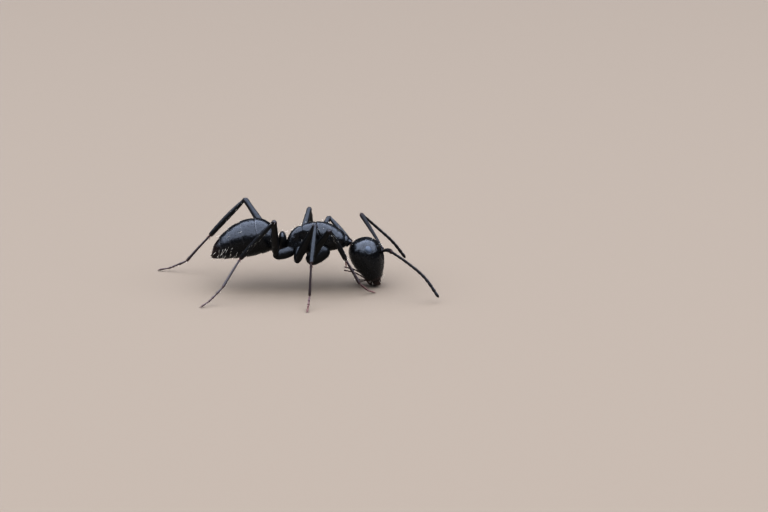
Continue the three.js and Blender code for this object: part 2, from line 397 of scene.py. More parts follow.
# Outlines of a hair: share of its length, share of its radius.
LONG_NEEDLE = ((0, 1), (0.4, 0.85), (0.75, 0.55), (1, 0.1))
SHORT_NEEDLE = ((0, 1), (0.5, 0.8), (1, 0.12))


def everywhere(points, normals):
    return np.ones(len(points))


class Coat:
    """Hairs gathered into one mesh. Each hair is a copy of one needle, bent, sized and turned.

    Its map gives each hair a small patch where its root lies on the skin's own map."""

    PATCH = 0.003  # width of a hair's patch on the map
    STAND_SPREAD = 0.12
    AIM_SPREAD = 0.13
    SAG_SPREAD = 0.06

    def __init__(self, seed):
        self.rng = np.random.default_rng(seed)
        self.parts = []

    @staticmethod
    def measure(piece, wanted):
        """A skin's triangles: corners, normals and map places, and the area that wants hair on each."""
        mesh = piece.data
        mesh.calc_loop_triangles()
        corners = np.array([t.vertices for t in mesh.loop_triangles])
        loops = np.array([t.loops for t in mesh.loop_triangles])
        points, normals = (read_array(piece, field)[corners] for field in ("co", "normal"))
        flat = np.empty(len(mesh.loops) * 2)
        mesh.uv_layers["Skin"].data.foreach_get("uv", flat)
        edges = points[:, 1:] - points[:, :1]
        area = np.linalg.norm(np.cross(edges[:, 0], edges[:, 1]), axis=1) / 2
        return points, normals, flat.reshape(-1, 2)[loops], area * wanted(points.mean(1), normals.mean(1))

    def sample(self, points, normals, flat, weight, count):
        """Random places on a skin: position, normal and place on its map."""
        chosen = self.rng.choice(len(points), count, p=weight / weight.sum())
        mix = self.rng.dirichlet((1, 1, 1), count)[..., None]
        normal = (normals[chosen] * mix).sum(1)
        normal /= np.linalg.norm(normal, axis=1)[:, None]
        return (points[chosen] * mix).sum(1), normal, (flat[chosen] * mix).sum(1)

    def grow(self, piece, per_mm2, lean, stand, length, radius, wanted=everywhere, spot=None, matrix=None):
        """Grows hairs that lean in a direction.

        wanted says how thickly they stand at a place, spot moves their map places to a shared map,
        and matrix takes them from the section's frame to the ant's."""
        *skin, weight = self.measure(piece, wanted)
        count = int(weight.sum() * per_mm2)
        if count < 1:
            return
        root, normal, flat = self.sample(*skin, weight, count)
        if matrix is not None:
            turn = np.array(matrix.to_3x3())
            root = root @ turn.T + np.array(matrix.translation)
            normal = normal @ turn.T
        lean = np.broadcast_to(np.array(lean, float), root.shape)
        lean = lean - normal * (lean * normal).sum(1)[:, None]
        lean /= np.maximum(np.linalg.norm(lean, axis=1), 1e-3)[:, None]
        rng = self.rng
        stands = np.clip(stand + rng.normal(0, self.STAND_SPREAD, count), 0.04, 1)[:, None]
        aim = normal * stands + lean * (1 - stands) + rng.normal(0, self.AIM_SPREAD, (count, 3))
        aim /= np.linalg.norm(aim, axis=1)[:, None]
        sizes = length * rng.uniform(0.6, 1.25, count)
        droop = lean * 0.25 - normal * 0.15
        sag = (droop + rng.normal(0, self.SAG_SPREAD, (count, 3))) * sizes[:, None]
        if spot is not None:
            flat = spot(flat)
        self.parts.append((root - normal * radius, aim, sizes, np.full(count, radius), sag, flat))

    def build(self, name, material, needle=LONG_NEEDLE):
        root, aim, size, radius, sag, flat = (np.concatenate(part) for part in zip(*self.parts))
        needle = loft(name, [(height, r, r, 0, 0) for height, r in needle], 3)
        shape = read_array(needle, "co")
        faces = [list(face.vertices) for face in needle.data.polygons]
        across = np.cross(aim, np.where(abs(aim[:, 2:]) < 0.8, [[0.0, 0, 1]], [[1.0, 0, 0]]))
        across /= np.linalg.norm(across, axis=1)[:, None]
        other = np.cross(aim, across)
        x, y, z = (shape[:, k][None, :, None] for k in range(3))
        points = root[:, None] + aim[:, None] * size[:, None, None] * z + sag[:, None] * z**2
        points = points + (across[:, None] * x + other[:, None] * y) * radius[:, None, None]
        count, corners = len(root), len(shape)
        mesh = bpy.data.meshes.new(name)
        all_faces = [[v + k * corners for v in face] for k in range(count) for face in faces]
        mesh.from_pydata(points.reshape(-1, 3), [], all_faces)
        layer = mesh.uv_layers.new(name="OFBake")
        vertex = np.empty(len(mesh.loops), np.int64)
        mesh.loops.foreach_get("vertex_index", vertex)
        hair, corner = vertex // corners, vertex % corners
        spread = np.stack([(corner % 3) / 2 - 0.5, shape[corner, 2] - 0.5], axis=1) * self.PATCH
        patch = np.clip(flat[hair], self.PATCH, 1 - self.PATCH) + spread
        layer.data.foreach_set("uv", patch.astype(np.float32).ravel())
        discard([needle])
        coat = bpy.data.objects.new(name, mesh)
        bpy.context.scene.collection.objects.link(coat)
        set_attribute(coat, "tint", np.repeat(self.rng.uniform(0, 1, count), corners))
        set_attribute(coat, "tip", np.tile(shape[:, 2], count))
        return finish_piece(coat, material)


# ---- materials ----------------------------------------------------------------------------


class Finish:
    """A material in the making. A method that adds a node returns the node's output."""

    def __init__(self, name):
        self.material = bpy.data.materials.new(name)
        self.material.use_nodes = True
        self.nodes = self.material.node_tree.nodes
        self.shader = self.nodes["Principled BSDF"]

    def feed(self, socket, value):
        """Links an output to a socket, or sets the socket to a number or a colour."""
        if isinstance(value, bpy.types.NodeSocket):
            self.material.node_tree.links.new(value, socket)
        elif isinstance(value, tuple):
            socket.default_value = (*value, 1)
        else:
            socket.default_value = value

    def dress(self, name, value):
        """Feeds one of the shader's own sockets."""
        self.feed(self.shader.inputs[name], value)

    def where(self):
        return self.nodes.new("ShaderNodeTexCoord").outputs["Object"]

    def attribute(self, name):
        node = self.nodes.new("ShaderNodeAttribute")
        node.attribute_name = name
        return node.outputs["Fac"]

    def noise(self, where, size_mm, detail=3):
        """A noise whose features are about size_mm across."""
        node = self.nodes.new("ShaderNodeTexNoise")
        node.inputs["Scale"].default_value = 1 / (size_mm * MM)
        node.inputs["Detail"].default_value = detail
        self.feed(node.inputs["Vector"], where)
        return node.outputs["Fac"]

    def cells(self, where, size_mm, stretch):
        """Distance to the edge of fine cells, for a net-like surface."""
        mapping = self.nodes.new("ShaderNodeMapping")
        mapping.inputs["Scale"].default_value = stretch
        self.feed(mapping.inputs["Vector"], where)
        node = self.nodes.new("ShaderNodeTexVoronoi")
        node.feature = "DISTANCE_TO_EDGE"
        node.inputs["Scale"].default_value = 1 / (size_mm * MM)
        self.feed(node.inputs["Vector"], mapping.outputs["Vector"])
        return node.outputs["Distance"]

    def ramp(self, value, *stops):
        """A colour ramp through (place, colour) stops."""
        node = self.nodes.new("ShaderNodeValToRGB")
        while len(node.color_ramp.elements) < len(stops):
            node.color_ramp.elements.new(0.5)
        for element, (at, colour) in zip(node.color_ramp.elements, stops):
            element.position = at
            element.color = (*colour, 1)
        self.feed(node.inputs["Fac"], value)
        return node.outputs["Color"]

    def remap(self, value, low, high):
        """Takes 0..1 to low..high."""
        node = self.nodes.new("ShaderNodeMapRange")
        node.inputs["To Min"].default_value = low
        node.inputs["To Max"].default_value = high
        self.feed(node.inputs["Value"], value)
        return node.outputs["Result"]

    def mix(self, factor, first, second, blend="MIX"):
        """Mixes two colours."""
        node = self.nodes.new("ShaderNodeMix")
        node.data_type, node.blend_type = "RGBA", blend
        self.feed(node.inputs["Factor"], factor)
        self.feed(node.inputs[6], first)
        self.feed(node.inputs[7], second)
        return node.outputs[2]

    def bump(self, height, depth_mm, before=None):
        node = self.nodes.new("ShaderNodeBump")
        node.inputs["Distance"].default_value = depth_mm * MM
        self.feed(node.inputs["Height"], height)
        if before is not None:
            self.feed(node.inputs["Normal"], before)
        return node.outputs["Normal"]


def lighter(colour, times):
    return tuple(part * times for part in colour)


def cuticle_material(name, colour, cell_mm, roughness, stretch=(1, 1, 1), pale=None, sheen=0.5):
    """Cuticle: a fine net and shallow dimples under a soft sheen, browner where the piece says so.

    With a pale colour, the piece also says where it takes that one."""
    finish = Finish(name)
    where = finish.where()
    net = finish.cells(where, cell_mm, stretch)
    clouds = finish.noise(where, 0.5)
    dimples = finish.noise(where, looks().dimple, 2)
    body = finish.ramp(clouds, (0.3, lighter(colour, 1)), (0.75, lighter(colour, 1.8)))
    tone = finish.mix(finish.attribute("brown"), body, tuple(looks().brown))
    if pale is not None:
        tone = finish.mix(finish.attribute("pale"), tone, tuple(pale))
    finish.dress("Base Color", tone)
    finish.dress("Roughness", finish.remap(dimples, roughness - 0.06, roughness + 0.08))
    dimpled = finish.bump(dimples, looks().dimple_depth)
    finish.dress("Normal", finish.bump(net, cell_mm * 0.04, dimpled))
    finish.dress("Specular IOR Level", sheen)
    return finish.material


ROOT_SHADE = (0.45, 0.35, 0.28)  # what a hair's colour is multiplied by at its root


def hair_material(name, colour):
    """Hairs that differ a little from each other and are darker at the root."""
    material = bpy.data.materials.get(name)
    if material:
        return material
    finish = Finish(name)
    by_hair = finish.ramp(finish.attribute("tint"), (0.0, lighter(colour, 0.5)), (0.8, tuple(colour)))
    fade = finish.ramp(finish.attribute("tip"), (0.0, ROOT_SHADE), (0.3, (1, 1, 1)))
    finish.dress("Base Color", finish.mix(1, by_hair, fade, "MULTIPLY"))
    finish.dress("Roughness", 0.38)
    return finish.material


class Fur:
    """The two coats of one part of the body: pale standing hairs and fine dark lying ones.

    stand is 0 for lying flat and 1 for upright, and share is the length against the usual one."""

    def __init__(self, number):
        seed = coat_settings().seed + 2 * number
        self.standing, self.lying = Coat(seed), Coat(seed + 1)

    def stand(self, piece, per_mm2, lean, stand, share, thick=1.0, **others):
        """Grows pale hairs. thick is their radius against the usual one."""
        settings = coat_settings()
        radius = settings.radius * thick
        self.standing.grow(piece, per_mm2, lean, stand, settings.standing * share, radius, **others)

    def lie(self, piece, per_mm2, lean, stand=0.1, share=1.0, **others):
        """Grows dark hairs."""
        settings = coat_settings()
        self.lying.grow(piece, per_mm2, lean, stand, settings.lying * share, settings.fine_radius, **others)

    def build(self, stem):
        if self.standing.parts:
            self.standing.build(f"{stem}_hair", hair_material("Pale hair", looks().hair))
        if self.lying.parts:
            self.lying.build(f"{stem}_down", hair_material("Fine down", looks().down), SHORT_NEEDLE)


# ---- settings -----------------------------------------------------------------------------


def colour(name, description, default):
    return bpy.props.FloatVectorProperty(
        name=name, description=description, subtype="COLOR", default=default
    )


def number(name, description, default):
    return bpy.props.FloatProperty(name=name, description=description, default=default)


def numbers(name, description, default):
    return bpy.props.FloatVectorProperty(
        name=name, description=description, size=len(default), default=default
    )


class AntLooks(bpy.types.PropertyGroup):
    """Colours and sizes that the pieces share."""

    black: colour("Black", "Cuticle colour", (0.0016, 0.0017, 0.0021))
    brown: colour("Brown", "Cuticle colour at joints and rims", (0.055, 0.019, 0.010))
    # Rim colour of the gaster's rings: partly their own pale rim, partly a painted highlight, since it is
    # laid only where the rims face up
    margin: colour("Margin", "Colour of the thin edges of rings", (0.12, 0.115, 0.11))
    feeler: colour("Feeler", "Colour of the antennae", (0.0045, 0.003, 0.0025))
    foot_brown: colour("Foot brown", "Colour of the feet", (0.006, 0.0032, 0.0026))
    toe_brown: colour("Toe brown", "Colour of the toes and claws", (0.12, 0.047, 0.036))
    jaw: colour("Jaw", "Colour of the mandibles", (0.007, 0.0025, 0.0019))
    eye: colour("Eye", "Colour of the eyes", (0.024, 0.028, 0.034))
    hair: colour("Hair", "Colour of the standing hairs", (0.80, 0.73, 0.60))
    down: colour("Down", "Colour of the lying hairs", (0.014, 0.012, 0.011))
    dimple: number("Dimple", "Width of the dimples, in millimetres", 0.2)
    dimple_depth: number("Dimple depth", "Depth of the dimples, in millimetres", 0.016)
    inset: number("Inset", "How far the skin lies inside the solids, in millimetres", 0.025)
    joint_radius: number("Joint radius", "Radius of a solid limb's round end, in millimetres", 0.27)
    hip_radius: number("Hip radius", "Radius of a solid coxa's round end, in millimetres", 0.30)


class AntHead(bpy.types.PropertyGroup):
    """The head's pitch and what sits on its face, in the head's own frame and in millimetres."""

    pitch: number("Pitch", "How far the face is turned down, in degrees", 73)
    socket: numbers("Socket", "Where the left antenna leaves the head", (0.35, 1.079, -0.237))
    eye_size: numbers("Eye size", "The eye's half depth, half width and half length", (0.13, 0.2, 0.25))
    eye_depth: number("Eye depth", "How deep the middle of the eye lies in the head", 0.05)
    lens_height: number("Lens height", "How far an eye's lenses bulge, as a share of its radius", 0.022)


class AntGaster(bpy.types.PropertyGroup):
    """The gaster's frame."""

    lean: number("Lean", "Lean of the gaster's rings, in degrees", 12)


class AntCoat(bpy.types.PropertyGroup):
    """Sizes of the hairs, in millimetres, and the start of their random draws."""

    standing: number("Standing", "Length of standing hairs", 0.3)
    lying: number("Lying", "Length of lying hairs", 0.13)
    radius: number("Radius", "Radius of a standing hair", 0.0080)
    fine_radius: number("Fine radius", "Radius of a lying hair", 0.0034)
    seed: bpy.props.IntProperty(name="Seed", description="Start of the random draws", default=12)


class AntStage(bpy.types.PropertyGroup):
    """Camera, floor and light. The camera's lengths are in millimetres and the light's in metres."""

    target: numbers("Target", "Point at the middle of the picture", (5.487, -0.582, 1.93))
    elevation: number("Elevation", "How far the camera looks down, in degrees", 14)
    distance: number("Distance", "From the camera to the target", 220)
    lens: number("Lens", "Focal length", 165)
    floor: colour("Floor", "Floor colour", (0.130, 0.099, 0.067))
    sky_place: numbers("Sky place", "Middle of the broad light", (0.0, -0.07, 0.36))
    sky_aim: numbers("Sky aim", "Point that the broad light faces", (0.0, -0.03, 0.0))
    sky_size: numbers("Sky size", "Both widths of the broad light", (2.0, 1.10))
    sky_power: number("Sky power", "Power of the broad light, in watts", 43.0)
    sky_colour: colour("Sky colour", "Colour of the broad light", (0.73, 0.815, 1.0))
    room: colour("Room", "Colour of the light from all round", (0.80, 0.86, 0.95))
    room_strength: number("Room strength", "Strength of the light from all round", 0.04)
    gamma: number("Gamma", "Gamma of the picture", 0.68)


def looks():
    return bpy.context.scene.ant_looks


def coat_settings():
    return bpy.context.scene.ant_coat


def head_section():
    return Section(["head"], bpy.context.scene.ant_head.pitch)


# ---- head ---------------------------------------------------------------------------------

# Lines on the face in the head's frame: paths over the left half, widths and lifts.
FRONTAL_RIDGE = [
    (0.20, 1.0, 0.36), (0.23, 1.1, 0.1), (0.24, 1.1, -0.18), (0.34, 1.1, -0.5), (0.46, 1.0, -0.72),
]
FACE_PLATE_EDGE = [(0.6, 0.6, 1.28), (0.52, 0.8, 0.95), (0.40, 0.9, 0.6), (0.22, 1.0, 0.38), (0.0, 1.0, 0.34)]
FACE_STROKES = [
    (FRONTAL_RIDGE, 0.035, 0.06),
    (FACE_PLATE_EDGE, 0.028, -0.035),
    ([(0.42, 1.0, 0.1), (0.47, 1.0, -0.25), (0.55, 1.0, -0.55)], 0.09, -0.03),
    ([(0.35, 1.1, -0.237)], 0.12, -0.05),
    ([(0.62, 0.5, 1.3), (0.85, 0.2, 1.28), (0.88, -0.1, 1.25)], 0.05, 0.03),
    ([(0.40, -0.6, 1.2), (0.26, -0.9, 0.6), (0.2, -1.0, 0.0)], 0.03, -0.03),
    ([(0.95, 0.1, 0.9), (1.15, 0.15, 0.3), (1.2, 0.2, -0.35)], 0.05, -0.012),
]
MIDDLE_STROKES = [
    ([(0, 0.9, 0.5), (0, 0.7, 1.2)], 0.22, 0.03),
    ([(0, 0.9, 0.42), (0, 0.7, 1.25)], 0.035, 0.03),
    ([(0, 1.1, 0.28), (0, 1.1, -0.6)], 0.022, -0.022),
    ([(0, -0.9, -0.95), (0, -1.0, 0.1), (0, -0.7, 0.9)], 0.03, -0.035),
]


EYE_MIDDLE = (0.33, -0.755)  # its Y and Z in the head's frame
RIM_BROWN = 0.7  # round the mouth
SOCKET_BROWN = 0.25  # round the antennae's sockets


class ANT_OT_head(bpy.types.Operator):
    """The head capsule, with its face plate, ridges and sockets."""

    bl_idname = "ant.head"
    bl_label = "Head"

    def execute(self, context):
        section, inset = head_section(), looks().inset
        start, end = section.start, section.end
        places = np.concatenate([[start + 0.02, start + 0.06], np.linspace(start + 0.12, end - 0.05, 24)])
        rings = [section.ring(start, inset, 0.35)]
        rings += [section.ring(p, inset) for p in places]
        rings += [section.ring(end, inset, 0.99), section.ring(end + 0.005, inset, 0.93)]
        rings += [section.ring(end - 0.02, inset, 0.86), section.ring(end - 0.06, inset, 0.7)]
        head = loft("head_capsule", rings, 64)
        subdivide(head, 2)
        around_eye = side_oval(1.1, EYE_MIDDLE, (0.235, 0.285), np.linspace(0, 2 * math.pi, 25))
        carve(head, on_both_sides(FACE_STROKES + [(around_eye, 0.022, 0.02)]) + MIDDLE_STROKES)
        set_attribute(head, "brown", self.brown_at(read_array(head, "co"), section))
        rims = [self.socket_rim(head, side) for side in SIDES.values()]
        head = join("head_capsule", [head, *rims])
        grow_head_coat(head, section)
        place(head, section.matrix())
        material = cuticle_material("Head cuticle", looks().black, cell_mm=0.028, roughness=0.25)
        finish_piece(head, material, ["head"])
        return {"FINISHED"}

    @staticmethod
    def brown_at(points, section):
        """Reddish round the mouth's rim."""
        return np.clip((points[:, 2] - section.end + 0.14) / 0.14, 0, 1) * RIM_BROWN

    @staticmethod
    def socket_rim(head, side):
        """The raised ring round an antenna's socket."""
        x, y, z = bpy.context.scene.ant_head.socket
        _, point, normal, _ = head.closest_point_on_mesh(Vector((x * side, y, z)))
        pick_nothing()
        bpy.ops.mesh.primitive_torus_add(
            major_segments=28, minor_segments=10, major_radius=0.13, minor_radius=0.032, generate_uvs=False
        )
        rim = bpy.context.object
        rim.data.uv_layers.new(name="Skin")
        place(rim, aimed(point - normal * 0.012, normal, (0, 0, 1)))
        set_attribute(rim, "brown", SOCKET_BROWN)
        return rim


def grow_head_coat(head, section):
    fur = Fur(1)
    matrix = section.matrix()
    end = section.end

    def outside(points, normals):
        y, z = EYE_MIDDLE
        away_from_eye = np.hypot(points[:, 1] - y, points[:, 2] - z) > 0.3
        on_middle = abs(points[:, 0]) < 0.8
        return ((points[:, 2] < end - 0.02) & (away_from_eye | on_middle)).astype(float)

    def at_front(points, normals):
        return outside(points, normals) * np.clip((points[:, 2] - end + 0.35) * 4, 0, 1)

    def on_crown(points, normals):
        behind = (points[:, 2] < -0.2) * (normals[:, 2] < 0.35)
        return outside(points, normals) * behind * (abs(points[:, 0]) < 0.62)

    def on_face(points, normals):
        return outside(points, normals) * (abs(points[:, 0]) < 0.6)

    down = np.array(section.axes[2])
    fur.lie(head, 130, down, wanted=outside, matrix=matrix)
    fur.stand(head, 14, down, stand=0.55, share=0.85, wanted=at_front, matrix=matrix)
    fur.stand(head, 2, down, stand=0.85, share=0.7, wanted=on_crown, matrix=matrix)
    fur.stand(head, 0.7, down, stand=0.8, share=0.6, wanted=on_face, matrix=matrix)
    fur.build("head")


HALF_LENS = 0.083  # angle from a lens's middle to its rim, in radians


class ANT_OT_eyes(bpy.types.Operator):
    """Two domed eyes of small lenses."""

    bl_idname = "ant.eyes"
    bl_label = "Eyes"

    def execute(self, context):
        section = head_section()
        settings = context.scene.ant_head
        lens_spots = self.ball_points(4)
        pick_nothing()
        bpy.ops.mesh.primitive_ico_sphere_add(subdivisions=6, radius=1, calc_uvs=False)
        dome = bpy.context.object
        dome.name = "eye_left_dome"
        bpy.ops.object.mode_set(mode="EDIT")
        bpy.ops.mesh.bisect(plane_co=(0.05, 0, 0), plane_no=(-1, 0, 0), clear_outer=True, use_fill=True)
        bpy.ops.object.mode_set(mode="OBJECT")
        points = read_array(dome, "co")
        nearest = np.concatenate([(chunk @ lens_spots.T).max(1) for chunk in np.array_split(points, 8)])
        angle = np.arccos(np.clip(nearest, -1, 1))
        lift = settings.lens_height * np.clip(1 - (angle / HALF_LENS) ** 2, -0.6, 1)
        on_dome = points[:, 0] > 0.06
        points = points * (1 + lift * on_dome)[:, None] * np.array(settings.eye_size)
        write_points(dome, points)
        place(dome, self.seat(section, settings))
        other = mirrored(dome, "eye_right_dome")
        material = self.lens_material()
        for side, piece in (("left", dome), ("right", other)):
            place(piece, section.matrix())
            finish_piece(piece, material, [f"eye_{side}"])
        return {"FINISHED"}

    @staticmethod
    def seat(section, settings):
        """Turns the dome's X out of the head where the left eye's solid stands."""
        solid = Vector(node_points("eye_left").mean(0))
        head = bpy.data.objects["head_capsule"]
        _, point, normal, _ = head.closest_point_on_mesh(solid * MM)
        out = Vector(section.axes @ np.array(normal))
        back = Vector((0, 0, 1)).cross(out).normalized()
        turn = Matrix((out, back, out.cross(back))).transposed().to_4x4()
        return Matrix.Translation(section.local(point / MM) - out * settings.eye_depth) @ turn

    @staticmethod
    def ball_points(levels):
        """The evenly spread corners of a ball."""
        pick_nothing()
        bpy.ops.mesh.primitive_ico_sphere_add(subdivisions=levels, radius=1, calc_uvs=False)
        ball = bpy.context.object
        points = read_array(ball, "co")
        discard([ball])
        return points

    @staticmethod
    def lens_material():
        finish = Finish("Eye lenses")
        clouds = finish.noise(finish.where(), 0.2)
        dark = looks().eye
        finish.dress("Base Color", finish.ramp(clouds, (0.3, tuple(dark)), (0.8, lighter(dark, 2.2))))
        finish.dress("Roughness", finish.remap(clouds, 0.36, 0.5))
        return finish.material


# Rings of the left mandible from its root to its tip, and its teeth (place along, place in, length).
JAW_RINGS = [
    (0.98, 0.24, 0.30, 0.50, 0.12), (1.10, 0.29, 0.35, 0.46, 0.16), (1.23, 0.32, 0.365, 0.41, 0.17),
    (1.37, 0.31, 0.345, 0.375, 0.165), (1.50, 0.28, 0.32, 0.34, 0.15), (1.62, 0.225, 0.285, 0.285, 0.14),
    (1.72, 0.165, 0.25, 0.225, 0.14), (1.80, 0.105, 0.20, 0.165, 0.15), (1.85, 0.04, 0.09, 0.11, 0.17),
]
JAW_FORWARD = 0.15  # of the jaw's middle plane
JAW_TEETH = [
    (1.40, 0.085, 0.10), (1.51, 0.08, 0.11), (1.61, 0.08, 0.12), (1.71, 0.08, 0.13), (1.80, 0.09, 0.16),
]


TOOTH_RINGS = [
    (-0.08, 0.055, 0.06, 0, 0), (0, 0.05, 0.05, 0, 0), (0.6, 0.03, 0.03, 0, 0), (1, 0.006, 0.006, 0, 0),
]
TOOTH_WAY = (-0.62, 0.0, 0.78)
JAW_STROKES = [
    ([(0.75, 0.4, 1.15), (0.6, 0.4, 1.5), (0.3, 0.4, 1.75)], 0.03, -0.02),
    ([(0.5, 0.5, 1.12), (0.38, 0.5, 1.45), (0.22, 0.4, 1.72)], 0.022, -0.014),
    ([(0.36, 0.5, 1.15), (0.28, 0.5, 1.42), (0.18, 0.4, 1.65)], 0.022, -0.014),
]


def on_jaw_face(points, normals):
    return (normals[:, 1] > 0.1) * (points[:, 2] > 1.3) * (points[:, 2] < 1.75)


class ANT_OT_mandibles(bpy.types.Operator):
    """Two closed, toothed jaws."""

    bl_idname = "ant.mandibles"
    bl_label = "Mandibles"

    def execute(self, context):
        section = head_section()
        blade = loft("jaw_left", JAW_RINGS, 28)
        points = read_array(blade, "co")
        heights, halves, _, middles, _ = np.array(JAW_RINGS).T
        middle, half = (np.interp(points[:, 2], heights, sizes) for sizes in (middles, halves))
        across = (points[:, 0] - middle) / half
        points[:, 1] = JAW_FORWARD + (points[:, 1] - JAW_FORWARD) * (0.85 + 0.15 * across)
        points[:, 1] += 0.05 * across * np.clip((points[:, 2] - 1.2) / 0.5, 0, 1)
        write_points(blade, points)
        subdivide(blade, 2)
        carve(blade, JAW_STROKES)
        tooth = loft("tooth", TOOTH_RINGS, 10)
        subdivide(tooth, 1)
        teeth = []
        for height, inward, length in JAW_TEETH:
            at = Vector((inward, JAW_FORWARD, height)) - Vector(TOOTH_WAY) * length * 0.45
            teeth.append(copy_of(tooth, aimed(at, TOOTH_WAY, (0, 1, 0), (0.9, 0.9, length))))
        discard([tooth])
        left = join("jaw_left", [blade, *teeth])
        right = mirrored(left, "jaw_right")
        place(right, Matrix.Translation((0, 0, -0.02)))
        material = cuticle_material("Jaw cuticle", looks().jaw, 0.05, roughness=0.28, stretch=(1, 1, 0.35))
        fur = Fur(2)
        for side, piece in (("left", left), ("right", right)):
            points = read_array(piece, "co")
            set_attribute(piece, "brown", np.clip((points[:, 2] - 1.4) / 0.3, 0, 1) * 0.8)
            matrix = section.matrix()
            fur.stand(piece, 22, section.axes[2], stand=0.35, share=0.5, wanted=on_jaw_face, matrix=matrix)
            place(piece, matrix)
            finish_piece(piece, material, [f"mandible_{side}"])
        fur.build("jaw")
        return {"FINISHED"}


# Rings of the tongue plate and of the left maxilla behind the jaws, in the head's frame.
TONGUE_RINGS = [
    (0.95, 0.14, 0.10, 0, -0.40), (1.05, 0.20, 0.15, 0, -0.38), (1.28, 0.20, 0.16, 0, -0.34),
    (1.45, 0.16, 0.13, 0, -0.30), (1.58, 0.07, 0.06, 0, -0.27),
]
MAXILLA_RINGS = [
    (0.92, 0.10, 0.10, 0.27, -0.38), (1.02, 0.14, 0.14, 0.29, -0.37), (1.25, 0.15, 0.16, 0.30, -0.33),
    (1.45, 0.125, 0.145, 0.27, -0.28), (1.60, 0.08, 0.10, 0.23, -0.25), (1.67, 0.03, 0.03, 0.20, -0.24),
]
PALP_SHARES = {"palp": (0.12, 0.18, 0.2, 0.18, 0.17, 0.15), "lip_palp": (0.28, 0.26, 0.24, 0.22)}


PALP_BEAD = [(-0.04, 0.45), (0.04, 0.62), (0.3, 0.8), (0.75, 1), (0.95, 0.9), (1.02, 0.5)]
PALP_RADIUS = 0.042
LIP_PALP_RADIUS = 0.032
MOUTH_BROWNS = {"plates": 0.5, "palps": 0.6}


class ANT_OT_mouth(bpy.types.Operator):
    """The tongue plate and maxillae behind the jaws, and the jointed feelers that hang from them."""

    bl_idname = "ant.mouth"
    bl_label = "Mouth"

    def execute(self, context):
        section = head_section()
        parts = [loft("mouth_plates", TONGUE_RINGS, 20), loft("maxilla", MAXILLA_RINGS, 20)]
        parts.append(mirrored(parts[1], "maxilla_right"))
        for part in parts:
            subdivide(part, 1)
        mouth = join("mouth_plates", parts)
        set_attribute(mouth, "brown", MOUTH_BROWNS["plates"])
        place(mouth, section.matrix())
        material = cuticle_material("Mouth cuticle", looks().jaw, cell_mm=0.03, roughness=0.38)
        finish_piece(mouth, material, ["mouthparts"])
        bead = limb("bead", PALP_BEAD, 1, 12)
        fur = Fur(3)
        for side, sign in SIDES.items():
            root = section.matrix() @ Vector((0.3 * sign, -0.42, 1.18))
            tip = joints_along(root, [f"palp_{side}"], 0.05)[1]
            palp_path = self.arched(root, tip, 0.12, PALP_SHARES["palp"])
            lip_root = section.matrix() @ Vector((0.1 * sign, -0.46, 1.3))
            lip_tip = lip_root + Vector((-0.62, 0.12 * sign, 0.02))
            lip_path = self.arched(lip_root, lip_tip, -0.07, PALP_SHARES["lip_palp"])
            beads = []
            for chain, radius in ((palp_path, PALP_RADIUS), (lip_path, LIP_PALP_RADIUS)):
                for a, b in zip(chain, chain[1:]):
                    beads.append(copy_of(bead, aimed(a, b - a, UP, (radius, radius, (b - a).length))))
                    fur.lie(beads[-1], 90, b - a, stand=0.4, share=0.55)
            palp = join(f"palps_{side}", beads)
            set_attribute(palp, "brown", MOUTH_BROWNS["palps"])
            finish_piece(palp, material, [f"palp_{side}"])
        discard([bead])
        fur.build("palp")
        return {"FINISHED"}

    @staticmethod
    def arched(root, tip, rise, shares):
        """A path that rises in its middle, cut into shares of its length."""
        middle = (root + tip) / 2 + Vector((0, 0, rise))
        return smooth_path([root, middle, tip], np.cumsum((0, *shares)))


# ---- trunk --------------------------------------------------------------------------------

# Lines on the trunk in its own frame, over its left half.
PRONOTUM_SEAM = [
    (0.9, -0.5, 0.42), (0.95, -0.135, 0.12), (0.85, 0.35, -0.05), (0.6, 0.8, -0.17), (0.3, 1.0, -0.22),
    (0, 1.05, -0.24),
]
PRONOTUM_RIDGE = [
    (0.85, -0.1, 0.21), (0.85, 0.35, 0.03), (0.6, 0.8, -0.09), (0.3, 1.0, -0.14), (0, 1.05, -0.16),
]
BACK_SEAM = [(0.65, -0.2, -1.0), (0.65, 0.2, -1.08), (0.5, 0.6, -1.13), (0.25, 0.8, -1.17), (0, 0.85, -1.18)]
FLANK_SEAM = [
    (0.75, -0.95, 0.3), (0.8, -0.75, -0.1), (0.7, -0.6, -0.5), (0.66, -0.55, -0.75), (0.66, -0.2, -1.0),
]
THORAX_STROKES = [
    (PRONOTUM_SEAM, 0.032, -0.05),
    (PRONOTUM_RIDGE, 0.06, 0.02),
    (BACK_SEAM, 0.03, -0.03),
    ([(0.9, -0.3, 0.27), (0.9, -0.55, 0.6), (0.8, -0.75, 0.95), (0.6, -0.8, 1.3)], 0.03, -0.04),
    (FLANK_SEAM, 0.03, -0.04),
    ([(0.66, -0.55, -0.75), (0.66, -0.95, -0.6)], 0.03, -0.035),
    ([(0.85, 0.1, -0.3), (0.85, -0.35, 0.05), (0.85, -0.6, 0.3)], 0.03, -0.025),
    ([(0.6, 0.3, -1.1), (0.6, -0.5, -0.95)], 0.22, -0.07),
    ([(0.6, -0.72, -1.55)], 0.17, 0.07),
    ([(0.6, -0.9, -1.72), (0.6, -0.62, -1.5)], 0.022, -0.03),
    ([(0.72, 0.2, -0.78)], 0.05, 0.035),
    ([(0.8, -0.3, -0.35)], 0.3, 0.05),
]
# Where the rear half of the trunk is pressed flat on its sides.
THORAX_FLANKS = [([(0.8, -0.05, -1.45), (0.85, 0.0, -0.9), (0.85, 0.0, -0.3)], 0.42, -0.17)]
COLLAR_HEIGHT = 1.64  # of the pronotum's collar along the thorax


def ring_path(section, place_at, half_widths=1.05):
    """A closed line round a section."""
    wide, deep, middle = section.sizes(place_at)
    turns = np.linspace(0, 2 * math.pi, 33)
    return [
        (wide * half_widths * math.cos(a), middle + deep * half_widths * math.sin(a), place_at) for a in turns
    ]


